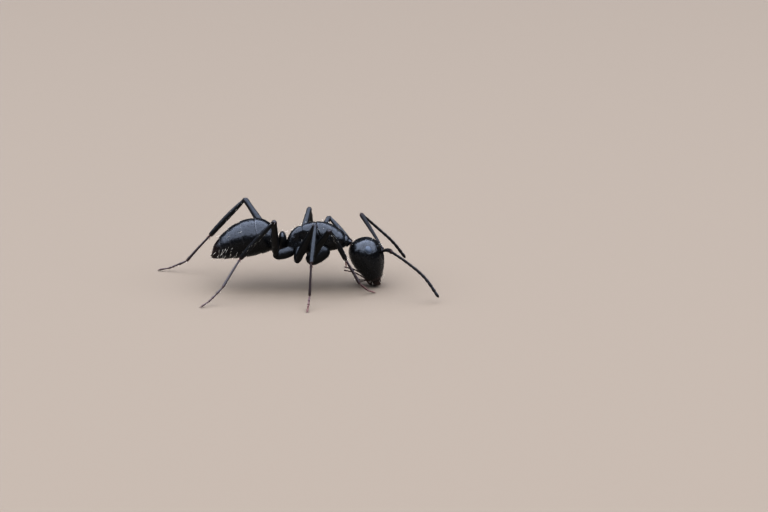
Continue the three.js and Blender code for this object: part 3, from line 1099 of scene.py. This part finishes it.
class ANT_OT_thorax(bpy.types.Operator):
    """The arched trunk that carries the legs, with its plates and breathing holes."""

    bl_idname = "ant.thorax"
    bl_label = "Thorax"

    def execute(self, context):
        section, inset = Section(THORAX_NODES, 0), looks().inset
        start, end = section.start, section.end
        places = np.concatenate([[start + 0.02, start + 0.05], np.linspace(start + 0.1, end - 0.03, 36)])
        rings = [section.ring(start + 0.01, inset, 0.4)]
        rings += [section.ring(p, inset) for p in places]
        rings.append(section.ring(end - 0.01, inset, 0.5))
        thorax = loft("thorax_shell", rings, 56)
        subdivide(thorax, 2)
        breathing_rim = side_oval(0.6, (0.12, -1.62), (0.05, 0.1), np.linspace(0, 6.3, 17))
        breathing_slit = [(0.6, 0.12, -1.68), (0.6, 0.12, -1.56)]
        strokes = THORAX_STROKES + [(breathing_rim, 0.024, 0.022), (breathing_slit, 0.03, -0.03)]
        collar = [
            (ring_path(section, COLLAR_HEIGHT), 0.05, -0.05),
            (ring_path(section, COLLAR_HEIGHT + 0.12), 0.05, 0.02),
        ]
        carve(thorax, on_both_sides(THORAX_FLANKS))
        carve(thorax, on_both_sides(strokes) + collar)
        points = read_array(thorax, "co")
        set_attribute(thorax, "brown", np.clip((points[:, 2] - end + 0.2) / 0.2, 0, 1) * 0.4)
        self.grow_coat(thorax, section)
        place(thorax, section.matrix())
        material = cuticle_material("Thorax cuticle", looks().black, 0.032, roughness=0.27, sheen=0.45)
        finish_piece(thorax, material, THORAX_NODES)
        return {"FINISHED"}

    @staticmethod
    def grow_coat(thorax, section):
        fur = Fur(4)
        matrix = section.matrix()

        def on_back(points, normals):
            return np.clip(normals[:, 1] * 2 - 0.6, 0, 1)

        def behind(points, normals):
            return on_back(points, normals) * (points[:, 2] < -1.0)

        back = -np.array(section.axes[2])
        fur.lie(thorax, 120, back, matrix=matrix)
        fur.stand(thorax, 5, back, stand=0.85, share=0.7, wanted=on_back, matrix=matrix)
        fur.stand(thorax, 9, back, stand=0.85, share=0.8, wanted=behind, matrix=matrix)
        fur.build("thorax")


# Rings of the petiole's scale: height from its top, half thickness, half width, shift along the body.
SCALE_RINGS = [
    (-1.12, 0.24, 0.2, 0.0), (-0.95, 0.27, 0.27, 0.0), (-0.75, 0.285, 0.36, 0.0), (-0.58, 0.28, 0.44, 0.0),
    (-0.40, 0.25, 0.48, -0.005), (-0.23, 0.205, 0.46, -0.01), (-0.1, 0.14, 0.37, -0.01),
    (-0.025, 0.065, 0.22, -0.01),
]
STALK_RINGS = [  # share of the length, radius
    (0.0, 0.2), (0.12, 0.19), (0.3, 0.155), (0.5, 0.16), (0.7, 0.165), (0.82, 0.13), (0.92, 0.17), (1.0, 0.2),
]


STALK_FRONT, STALK_REAR = 2.62, 2.80  # heights of the stalk's ends above the floor
PETIOLE_VOXEL = 0.017  # width of the cells that blend scale and stalk


class ANT_OT_petiole(bpy.types.Operator):
    """The stalk between trunk and gaster with its upright scale."""

    bl_idname = "ant.petiole"
    bl_label = "Petiole"

    def execute(self, context):
        points = node_points("petiole")
        top = points[points[:, 2].argmax()]
        crest = points[points[:, 2] > top[2] - 0.35]
        centre = (crest.min(0) + crest.max(0)) / 2
        middle = midline()
        rings = [
            (top[2] - 0.02 + height, thick, wide, centre[0] + shift, middle)
            for height, thick, wide, shift in SCALE_RINGS
        ]
        scale = loft("petiole_scale", rings, 32)
        front = Vector((points[:, 0].max() - 0.02, middle, STALK_FRONT))
        rear = Vector((points[:, 0].min() + 0.02, middle, STALK_REAR))
        length = (rear - front).length
        stalk = loft("stalk", [(share * length, r, r, 0, 0) for share, r in STALK_RINGS], 24)
        place(stalk, aimed(front, rear - front))
        piece = join("petiole_scale", [scale, stalk])
        modify(piece, "REMESH", mode="VOXEL", voxel_size=PETIOLE_VOXEL)
        modify(piece, "SMOOTH", factor=0.5, iterations=8)
        points = read_array(piece, "co")
        self.lay_out(piece, points, centre)
        set_attribute(piece, "brown", np.clip((STALK_FRONT - points[:, 2]) / 0.2, 0, 1) * 0.4)
        fur = Fur(5)

        def on_crown(points, normals):
            return np.clip((points[:, 2] - top[2] + 0.35) * 4, 0, 1)

        fur.lie(piece, 100, -UP, share=0.9)
        fur.stand(piece, 30, (-1, 0, 0), stand=0.95, share=0.7, wanted=on_crown)
        fur.build("petiole")
        material = cuticle_material("Petiole cuticle", looks().black, cell_mm=0.03, roughness=0.34)
        finish_piece(piece, material, ["petiole"])
        return {"FINISHED"}

    @staticmethod
    def lay_out(piece, points, centre):
        """The map's U goes round the upright scale and its V goes up it."""
        turn = np.arctan2(points[:, 1] - centre[1], points[:, 0] - centre[0]) / (2 * math.pi) + 0.5
        height = (points[:, 2] - points[:, 2].min()) / np.ptp(points[:, 2])
        layer = piece.data.uv_layers.get("Skin") or piece.data.uv_layers.new(name="Skin")
        vertex = np.empty(len(piece.data.loops), np.int64)
        piece.data.loops.foreach_get("vertex_index", vertex)
        flat = np.stack([turn[vertex], height[vertex]], axis=1)
        layer.data.foreach_set("uv", flat.astype(np.float32).ravel())


# ---- gaster -------------------------------------------------------------------------------

LIP = 0.05  # how far a ring stands proud of the one it overlaps
MARGIN = 0.018  # half width of a ring's pale edge, which is laid only where the edge faces up, as a painted highlight


class ANT_OT_gaster(bpy.types.Operator):
    """The gaster's overlapping rings, fringed with pale hairs."""

    bl_idname = "ant.gaster"
    bl_label = "Gaster"

    def execute(self, context):
        section = Section(GASTER_NODES, -bpy.context.scene.ant_gaster.lean)
        gaster = loft("gaster_shell", self.rings(section), 64)
        subdivide(gaster, 2)
        self.carve_side_lines(gaster, section)
        points = read_array(gaster, "co")
        set_attribute(gaster, "brown", np.clip(1.2 - (points[:, 2] - section.start) / 0.7, 0, 1) * 0.25)
        ahead = np.min([abs(points[:, 2] - seam - MARGIN) for seam in section.seams], axis=0)
        # Painted highlight: the pale rim colour is laid only where the skin faces up, towards the broad
        # light, and fades out on the lower side
        facing_up_highlight = np.clip(read_array(gaster, "normal")[:, 1] + 0.2, 0, 1)
        set_attribute(gaster, "pale", np.clip(1.6 - ahead / MARGIN, 0, 1) * facing_up_highlight * 0.6)
        self.grow_coat(gaster, section)
        place(gaster, section.matrix())
        finish = {"roughness": 0.26, "stretch": (2.2, 0.8, 0.8), "pale": looks().margin, "sheen": 0.42}
        material = cuticle_material("Gaster cuticle", looks().black, 0.03, **finish)
        finish_piece(gaster, material, GASTER_NODES)
        return {"FINISHED"}

    @staticmethod
    def rings(section):
        inset = looks().inset
        start, end = section.start, section.end
        rings = [(start + 0.005, 0.03, 0.03, 0, section.sizes(start + 0.1)[2])]
        rings.append((start + 0.035, 0.055, 0.06, 0, section.sizes(start + 0.1)[2]))
        bounds = [start + 0.05, *section.seams, end - 0.02]
        for low, high in zip(bounds, bounds[1:]):
            first, last = low == bounds[0], high == bounds[-1]
            if not first:
                rings.append(section.ring(low - 0.004, inset + 0.012))
                rings.append(section.ring(low + 0.014, inset))
            steps = 7 if first else 6
            for share in np.linspace(0.02 if first else 0.12, 1 if last else 0.9, steps):
                at = low + (high - low) * share
                rings.append(section.ring(at, inset + (0 if last else LIP * share**2)))
            if not last:
                rings.append(section.ring(high - 0.012, inset + LIP))
                rings.append(section.ring(high + 0.006, inset + LIP * 1.1))
        rings.append(section.ring(end, inset, 0.6))
        return rings

    @staticmethod
    def carve_side_lines(gaster, section):
        """The line on each side where the back plates overlap the belly plates."""
        path = []
        for at in np.linspace(section.start + 0.35, section.end - 0.25, 24):
            wide, deep, middle = section.sizes(at)
            path.append((wide, middle - deep * 0.52, at))
        above = [(x, y + 0.07, z) for x, y, z in path]
        carve(gaster, on_both_sides([(path, 0.032, -0.04), (above, 0.05, 0.015)]))

    @staticmethod
    def grow_coat(gaster, section):
        fur = Fur(6)
        matrix = section.matrix()
        seams, start = section.seams, section.start

        def near_rims(points, normals):
            near = np.zeros(len(points))
            for seam in seams[:3]:
                near = np.maximum(near, np.exp(-(((points[:, 2] - seam - 0.1) / 0.06) ** 2)))
            return near

        def low_behind(points, normals):
            on_flank = abs(normals[:, 1] + 0.3) < 0.45
            return on_flank * np.clip((seams[1] + 0.6 - points[:, 2]) * 2, 0, 1)

        def on_back(points, normals):
            return near_rims(points, normals) * np.clip(normals[:, 1] * 3 - 1.5, 0, 1)

        def at_tip(points, normals):
            return (points[:, 2] < start + 0.22) * 1.0

        back = -np.array(section.axes[2])
        low = (-0.4, 0, -0.9)
        fur.lie(gaster, 110, back, stand=0.07, matrix=matrix)
        fur.stand(gaster, 22, back, stand=0.42, share=0.8, thick=1.3, wanted=on_back, matrix=matrix)
        fur.stand(gaster, 1.2, back, stand=0.5, share=0.8, wanted=near_rims, matrix=matrix)
        fur.stand(gaster, 16, low, stand=0.4, share=0.9, thick=1.7, wanted=low_behind, matrix=matrix)
        fur.stand(gaster, 28, back, stand=0.35, share=0.5, wanted=at_tip, matrix=matrix)
        fur.build("gaster")


# ---- legs ---------------------------------------------------------------------------------

# Outlines up a limb: share of its length, radius.
COXA = [
    (-0.25, 0.5), (-0.12, 0.8), (0.05, 0.96), (0.3, 1.0), (0.55, 0.97), (0.75, 0.88), (0.9, 0.76),
    (1.02, 0.6), (1.1, 0.38),
]
TROCHANTER = [(-0.3, 0.12), (-0.1, 0.16), (0.2, 0.185), (0.6, 0.18), (0.9, 0.16), (1.1, 0.10)]
FEMUR = [
    (0.03, 0.09), (0.05, 0.13), (0.1, 0.17), (0.18, 0.21), (0.28, 0.228), (0.42, 0.222), (0.6, 0.194),
    (0.78, 0.162), (0.88, 0.150), (0.94, 0.156), (0.975, 0.158), (0.99, 0.142), (1.015, 0.085),
]
TIBIA = [
    (-0.02, 0.06), (-0.005, 0.098), (0.02, 0.108), (0.045, 0.092), (0.09, 0.098), (0.2, 0.124), (0.4, 0.146),
    (0.65, 0.149), (0.85, 0.138), (0.95, 0.131), (0.99, 0.112), (1.005, 0.07),
]
BASITARSUS = [
    (-0.03, 0.035), (0.0, 0.055), (0.03, 0.062), (0.06, 0.055), (0.25, 0.066), (0.6, 0.075), (0.9, 0.083),
    (0.97, 0.085), (1.0, 0.07), (1.02, 0.035),
]
TOE = [(-0.06, 0.025), (0.0, 0.038), (0.1, 0.044), (0.5, 0.058), (0.85, 0.074), (0.97, 0.072), (1.04, 0.035)]
LAST_TOE = [
    (-0.04, 0.022), (0.0, 0.034), (0.1, 0.038), (0.5, 0.045), (0.8, 0.058), (0.93, 0.062), (1.0, 0.04),
]
PAD = [(0, 0.3), (0.2, 0.8), (0.5, 1), (0.8, 0.8), (1, 0.3)]
SPUR = [(0, 1), (0.4, 0.85), (0.8, 0.5), (1, 0.12)]
# Rings of the fore leg's comb: height, half width, half depth, two shifts.
COMB = [
    (0, 0.03, 0.022, 0, 0), (0.12, 0.036, 0.018, 0.02, 0), (0.24, 0.034, 0.014, 0.025, 0),
    (0.33, 0.022, 0.01, 0.01, 0), (0.38, 0.006, 0.006, -0.015, 0),
]
# The claw: height, radius and shift.
CLAW = [
    (0, 0.024, 0), (0.05, 0.023, -0.002), (0.1, 0.018, -0.014), (0.14, 0.012, -0.036), (0.165, 0.004, -0.06),
]
TOE_SHARES = (0, 0.3, 0.5, 0.64, 0.98)
TOE_WIDTHS = (1.0, 0.95, 0.9, 0.95)
TOE_PALENESS = (0.5, 0.65, 0.8, 0.9)
# How brown each part is at its near end and its far end.
JOINT_BROWNS = {
    "coxa": (0.0, 0.3),
    "trochanter": (0.3, 0.3),
    "femur": (0.3, 0.15),
    "tibia": (0.2, 0.4),
    "toe": (0.8, 0.6),
}
BASITARSUS_PALENESS = 0.12
LEG_ROWS = 6  # rows of the legs' shared map, the last one left empty
PAIR_PALENESS = {"fore": 1.0, "mid": 0.9, "hind": 0.35}
TOE_DROPS = (0, 0.09, 0.15, 0.175, 0.115)  # of each toe joint below the solid's middle line
# Each left coxa: where its root lies from its hip, and its radius.
COXAE = {
    "fore": ((0.95, -0.30, 0.62), 0.54),
    "mid": ((0.20, -0.36, 0.68), 0.34),
    "hind": ((0.92, -0.38, 0.21), 0.38),
}
LIMB_WIDTHS = {"fore": 1.1, "mid": 1.14, "hind": 1.18}


def limb(name, outline, length, sides=16, radius=1.0, bow=0.0, flat=1.0, levels=1):
    """A limb drawn up Z. bow bends its middle out, flat presses it sideways."""
    rings = []
    for share, r in outline:
        bend = bow * math.sin(math.pi * min(max(share, 0), 1))
        rings.append((share * length, r * radius, r * radius * flat, bend, 0))
    piece = loft(name, rings, sides)
    subdivide(piece, levels)
    return piece


def put(part, matrix, brown_low, brown_high=0.0, pale=0.0):
    """A placed copy of a part, browner towards its two ends as given."""
    copy = copy_of(part, Matrix())
    heights = read_array(copy, "co")[:, 2]
    share = (heights - heights.min()) / np.ptp(heights)
    brown = brown_low * np.clip(1 - share / 0.07, 0, 1) + brown_high * np.clip(1 - (1 - share) / 0.07, 0, 1)
    set_attribute(copy, "brown", brown)
    set_attribute(copy, "pale", pale)
    return place(copy, matrix)


def facing_down(points, normals):
    return np.clip(-normals[:, 2] * 2, 0, 1)


def spot_maker(number, count, part, parts):
    """Makes the step from a part's own map to the shared one: a column a limb and a row a part."""

    def spot(flat):
        return np.stack([(number + flat[:, 0]) / count, (part + flat[:, 1]) / parts], axis=1)

    return spot


class LegKit:
    """The parts of one pair's legs, drawn once."""

    def __init__(self, pair, lengths):
        root, radius = COXAE[pair]
        wide = LIMB_WIDTHS[pair]
        foot_wide = 1.2 if pair == "fore" else 1.0
        self.coxa = limb("coxa", COXA, Vector(root).length, 28, radius - looks().inset, flat=0.94, levels=2)
        self.trochanter = limb("trochanter", TROCHANTER, 0.26, 16)
        self.femur = limb("femur", FEMUR, lengths[0], 20, wide, bow=0.05, flat=0.92, levels=2)
        self.tibia = limb("tibia", TIBIA, lengths[1], 16, wide, bow=0.03, flat=0.95, levels=2)
        self.basitarsus = limb("basitarsus", BASITARSUS, lengths[2], 14, foot_wide, bow=0.02)
        self.toe = limb("toe", TOE, 1, 12)
        self.last_toe = limb("last_toe", LAST_TOE, 1, 12)
        self.claw = loft("claw", [(z, r, r * 0.8, x, 0) for z, r, x in CLAW], 10)
        subdivide(self.claw, 1)
        self.pad = limb("pad", PAD, 1, 10)
        self.spur = limb("spur", SPUR, 1, 8, flat=0.8)
        if pair == "fore":
            self.comb = loft("comb", COMB, 12)
            subdivide(self.comb, 1)

    def drawn(self):
        return list(vars(self).values())


class ANT_OT_legs(bpy.types.Operator):
    """Six legs: coxa to shin in one piece each, and a clawed foot in another."""

    bl_idname = "ant.legs"
    bl_label = "Legs"

    def execute(self, context):
        fur = Fur(7)
        pale = looks().toe_brown
        shin = cuticle_material("Leg cuticle", looks().black, 0.03, roughness=0.37, pale=pale, sheen=0.4)
        sole = cuticle_material("Foot cuticle", looks().foot_brown, 0.03, roughness=0.4, pale=pale)
        legs = [(pair, side) for pair in PAIRS for side in SIDES]
        kits = {}
        for number, (pair, side) in enumerate(legs):
            stem = f"{pair}_{side}"
            hip = round_end(f"{stem}_coxa", looks().hip_radius)
            links = [f"{stem}_{link}" for link in LEG_LINKS]
            joints = joints_along(hip, links, looks().joint_radius)
            if pair not in kits:
                kits[pair] = LegKit(pair, [(b - a).length for a, b in zip(joints, joints[1:])])
            sheets = (number, len(legs))
            thigh = self.thigh_parts(kits[pair], stem, joints, fur, sheets)
            foot = self.foot_parts(kits[pair], pair, joints, fur, sheets)
            leg_nodes = [f"{stem}_{link}" for link in ("coxa", "femur", "tibia")]
            foot_nodes = [f"{stem}_{link}" for link in ("tarsus", "foot")]
            finish_piece(join(f"leg_{stem}", thigh), shin, leg_nodes)
            finish_piece(join(f"sole_{stem}", foot), sole, foot_nodes)
        for kit in kits.values():
            discard(kit.drawn())
        fur.build("leg")
        return {"FINISHED"}

    def thigh_parts(self, kit, stem, joints, fur, sheets):
        hip, knee, ankle, heel = joints[:4]
        pair, side = stem.split("_")
        x, y, z = COXAE[pair][0]
        root = hip + Vector((x, y * SIDES[side], z))
        thigh, shin = knee - hip, ankle - knee
        coxa = put(kit.coxa, aimed(root, hip - root), *JOINT_BROWNS["coxa"])
        trochanter = put(kit.trochanter, aimed(hip, thigh), *JOINT_BROWNS["trochanter"])
        femur = put(kit.femur, aimed(hip, thigh), *JOINT_BROWNS["femur"])
        tibia = put(kit.tibia, aimed(knee, shin), *JOINT_BROWNS["tibia"])
        side_way = shin.cross(heel - ankle)
        side_way = side_way.normalized() if side_way.length > 0.05 else Vector((0, 1, 0))
        underside = shin.normalized().cross(side_way)
        if underside.dot(UP) > 0:
            underside = -underside
        parts = [coxa, trochanter, femur, tibia]
        tip = ankle - shin.normalized() * 0.03
        onward = (heel - ankle).normalized()
        if pair == "fore":
            comb_way = onward + Vector((-0.35, 0, -0.9))
            comb = aimed(tip - UP * 0.03, comb_way, -underside, (2.0, 2.0, 1.35))
            parts.append(put(kit.comb, comb, 0.0, pale=0.9))
        for way in (0.5,) if pair == "fore" else (-0.5, 0.5):
            spur_way = onward + underside * 0.45 + side_way * way
            parts.append(put(kit.spur, aimed(tip, spur_way, UP, (0.03, 0.03, 0.34)), 0.0, pale=0.8))

        def under(points, normals):
            return np.clip(normals @ np.array(underside) * 2 - 0.8, 0, 1)

        def by_ankle(points, normals):
            near = np.linalg.norm(points - np.array(ankle), axis=1) < 0.3
            return near * np.clip(normals @ np.array(underside) * 2, 0, 1)

        on_coxa, on_femur, on_tibia = (spot_maker(*sheets, part, LEG_ROWS) for part in range(3))
        fur.lie(coxa, 60, -UP, stand=0.2, spot=on_coxa)
        fur.lie(femur, 120, thigh, stand=0.18, share=0.95, spot=on_femur)
        fur.lie(tibia, 120, shin, stand=0.18, share=0.95, spot=on_tibia)
        fur.stand(tibia, 16, shin, stand=0.38, share=0.5, wanted=under, spot=on_tibia)
        if pair == "fore":
            fur.stand(tibia, 90, shin, stand=0.6, share=0.6, thick=1.3, wanted=by_ankle, spot=on_tibia)
        fur.stand(femur, 1.5, thigh, stand=0.8, share=0.6, spot=on_femur)
        return parts

    def foot_parts(self, kit, pair, joints, fur, sheets):
        ankle, heel, tip = joints[2:5]
        pair_pale, browns = PAIR_PALENESS[pair], JOINT_BROWNS["toe"]
        parts = [put(kit.basitarsus, aimed(ankle, heel - ankle), *browns, BASITARSUS_PALENESS)]
        toe_joints = [heel.lerp(tip, share) - UP * drop for share, drop in zip(TOE_SHARES, TOE_DROPS)]
        for a, b, width, pale in zip(toe_joints, toe_joints[1:], TOE_WIDTHS, TOE_PALENESS):
            toe = kit.last_toe if b is toe_joints[-1] else kit.toe
            matrix = aimed(a, b - a, UP, (width, width, (b - a).length))
            parts.append(put(toe, matrix, *browns, pale * pair_pale))
        for part in parts:
            aim, patch = (heel - ankle, 3) if part is parts[0] else (tip - heel, 4)
            spot = spot_maker(*sheets, patch, LEG_ROWS)
            fur.lie(part, 150, aim, stand=0.25, share=0.75, spot=spot)
            fur.stand(part, 50, aim, stand=0.45, share=0.4, wanted=facing_down, spot=spot)
        last = toe_joints[-1]
        ahead = Vector((tip.x - heel.x, tip.y - heel.y, 0)).normalized()
        aside = UP.cross(ahead)
        for way in (-0.45, 0.45):
            claw = aimed(last - ahead * 0.02, ahead + aside * way - UP * 0.12, UP)
            parts.append(put(kit.claw, claw, 0.0, pale=0.8 * pair_pale))
        pad = aimed(last - UP * 0.01, ahead - UP * 0.25, UP, (0.03, 0.04, 0.085))
        parts.append(put(kit.pad, pad, 0.9, 0.9, 0.9))
        return parts


# ---- antennae -----------------------------------------------------------------------------

SCAPE = [
    (-0.02, 0.05), (0.0, 0.07), (0.02, 0.068), (0.045, 0.055), (0.08, 0.066), (0.2, 0.085), (0.5, 0.108),
    (0.8, 0.134), (0.93, 0.146), (0.98, 0.13), (1.0, 0.08),
]
SCAPE_ROLL = {"left": (0.8, 0.1, 0.5), "right": (0, 0, 1)}  # where the broad side of each scape turns
SCAPE_BOWS = {"left": 0.015, "right": 0.12}  # how far the middle of each scape bends out
SOCKET_BALL = [(0, 0.02), (0.1, 0.06), (0.3, 0.093), (0.5, 0.1), (0.7, 0.093), (0.9, 0.06), (1, 0.02)]
WHIP_BEAD = [(-0.05, 0.55), (0.0, 0.72), (0.07, 0.82), (0.45, 0.92), (0.82, 1.0), (0.95, 0.95), (1.02, 0.65)]
WHIP_TIP = [
    (-0.04, 0.45), (0.0, 0.62), (0.08, 0.75), (0.4, 0.92), (0.7, 0.9), (0.88, 0.65), (0.97, 0.35),
    (1.0, 0.12),
]
WHIP_RADIUS, WHIP_GROWTH = 0.082, 0.020  # of its first bead, and by how much the last one is wider
FEELER_ROWS = 12  # rows of the antennae's shared map: the scape and eleven beads
WHIP_SHARES = (0.085, 0.1, 0.095, 0.092, 0.09, 0.088, 0.086, 0.086, 0.086, 0.086, 0.106)


class ANT_OT_antennae(bpy.types.Operator):
    """Two elbowed antennae: a long scape and a whip of eleven beads."""

    bl_idname = "ant.antennae"
    bl_label = "Antennae"

    def execute(self, context):
        section = head_section()
        fur = Fur(8)
        bead, tip = limb("bead", WHIP_BEAD, 1, 14), limb("tip", WHIP_TIP, 1, 14)
        ball = limb("ball", SOCKET_BALL, 0.2, 16)
        material = cuticle_material("Antenna cuticle", looks().feeler, 0.028, roughness=0.36, sheen=0.22)
        for number, (side, sign) in enumerate(SIDES.items()):
            x, y, z = context.scene.ant_head.socket
            socket = section.matrix() @ Vector((x * sign, y, z))
            nodes = [f"antenna_{side}_{link}" for link in WHIP_LINKS]
            joints = joints_along(socket, nodes, looks().joint_radius)
            facing = section.matrix().to_3x3() @ Vector((0.1 * sign, 1, -0.1)).normalized()
            along = joints[1] - joints[0]
            scape = limb("scape", SCAPE, along.length, 18, bow=SCAPE_BOWS[side], flat=0.72, levels=2)
            parts = [put(scape, aimed(joints[0], along, SCAPE_ROLL[side]), 0.8, 0.4)]
            discard([scape])
            parts.append(put(ball, aimed(joints[0] - facing * 0.15, facing), 0.0, 0.3))
            spot = spot_maker(number, len(SIDES), 0, FEELER_ROWS)
            fur.lie(parts[0], 150, along, stand=0.16, share=0.7, spot=spot)
            path = smooth_path(joints[1:], np.cumsum((0, *WHIP_SHARES)))
            for index, (a, b) in enumerate(zip(path, path[1:])):
                radius = WHIP_RADIUS + WHIP_GROWTH * index / 10
                shape = tip if index == len(WHIP_SHARES) - 1 else bead
                parts.append(put(shape, aimed(a, b - a, UP, (radius, radius, (b - a).length)), 0.35, 0.1))
                spot = spot_maker(number, len(SIDES), index + 1, FEELER_ROWS)
                fur.lie(parts[-1], 260, b - a, stand=0.28, share=0.42, spot=spot)
            finish_piece(join(f"feeler_{side}", parts), material, nodes)
        discard([bead, tip, ball])
        fur.build("antenna")
        return {"FINISHED"}


# ---- stage --------------------------------------------------------------------------------


class ANT_OT_stage(bpy.types.Operator):
    """Camera, floor and soft light."""

    bl_idname = "ant.stage"
    bl_label = "Stage"

    def execute(self, context):
        stage = context.scene.ant_stage
        add_camera(stage)
        add_floor(stage)
        add_sky(stage)
        world = bpy.data.worlds.new("Pale room")
        world.use_nodes = True
        background = world.node_tree.nodes["Background"]
        background.inputs["Color"].default_value = (*stage.room, 1)
        background.inputs["Strength"].default_value = stage.room_strength
        context.scene.world = world
        context.scene.view_settings.view_transform = "Standard"
        context.scene.view_settings.gamma = stage.gamma
        return {"FINISHED"}


def add_camera(stage):
    tilt = math.radians(stage.elevation)
    back = Vector((0, -math.cos(tilt), math.sin(tilt)))
    pick_nothing()
    bpy.ops.object.camera_add()
    camera = bpy.context.object
    camera.name = "Camera"
    camera.location = (Vector(stage.target) + back * stage.distance) * MM
    camera.rotation_euler = (math.pi / 2 - tilt, 0, 0)
    camera.data.lens = stage.lens
    camera.data.sensor_width = 36
    camera.data.clip_start = 0.001
    bpy.context.scene.camera = camera


def add_floor(stage):
    pick_nothing()
    bpy.ops.mesh.primitive_plane_add(size=4)
    floor = bpy.context.object
    floor.name = "Floor"
    finish = Finish("Pale floor")
    finish.dress("Base Color", tuple(stage.floor))
    finish.dress("Roughness", 0.9)
    floor.data.materials.append(finish.material)


def add_sky(stage):
    pick_nothing()
    bpy.ops.object.light_add(type="AREA", location=stage.sky_place)
    light = bpy.context.object
    light.name = "Broad sky"
    light.data.shape = "ELLIPSE"
    light.data.size, light.data.size_y = stage.sky_size
    light.data.energy = stage.sky_power
    light.data.color = stage.sky_colour
    facing = Vector(stage.sky_aim) - Vector(stage.sky_place)
    light.rotation_euler = facing.to_track_quat("-Z", "Y").to_euler()


# ---- the add-on ---------------------------------------------------------------------------

PIECE_OPERATORS = (
    ANT_OT_stage,
    ANT_OT_head,
    ANT_OT_eyes,
    ANT_OT_mandibles,
    ANT_OT_mouth,
    ANT_OT_thorax,
    ANT_OT_petiole,
    ANT_OT_gaster,
    ANT_OT_legs,
    ANT_OT_antennae,
)


class ANT_PT_panel(bpy.types.Panel):
    """Lists the pieces in the order they are made."""

    bl_idname = "ANT_PT_panel"
    bl_label = "Carpenter ant"
    bl_space_type = "VIEW_3D"
    bl_region_type = "UI"
    bl_category = "Ant"

    def draw(self, context):
        for operator in PIECE_OPERATORS:
            self.layout.operator(operator.bl_idname)


SETTINGS = {
    "ant_looks": AntLooks,
    "ant_head": AntHead,
    "ant_gaster": AntGaster,
    "ant_coat": AntCoat,
    "ant_stage": AntStage,
}


def register():
    for item in (*SETTINGS.values(), *PIECE_OPERATORS, ANT_PT_panel):
        bpy.utils.register_class(item)
    for name, group in SETTINGS.items():
        setattr(bpy.types.Scene, name, bpy.props.PointerProperty(type=group))


def unregister():
    for name in SETTINGS:
        delattr(bpy.types.Scene, name)
    for item in (ANT_PT_panel, *reversed(PIECE_OPERATORS), *reversed(SETTINGS.values())):
        bpy.utils.unregister_class(item)


def main():
    register()
    for operator in PIECE_OPERATORS:
        getattr(bpy.ops.ant, operator.bl_idname.split(".")[1])()


if __name__ == "__main__":
    main()
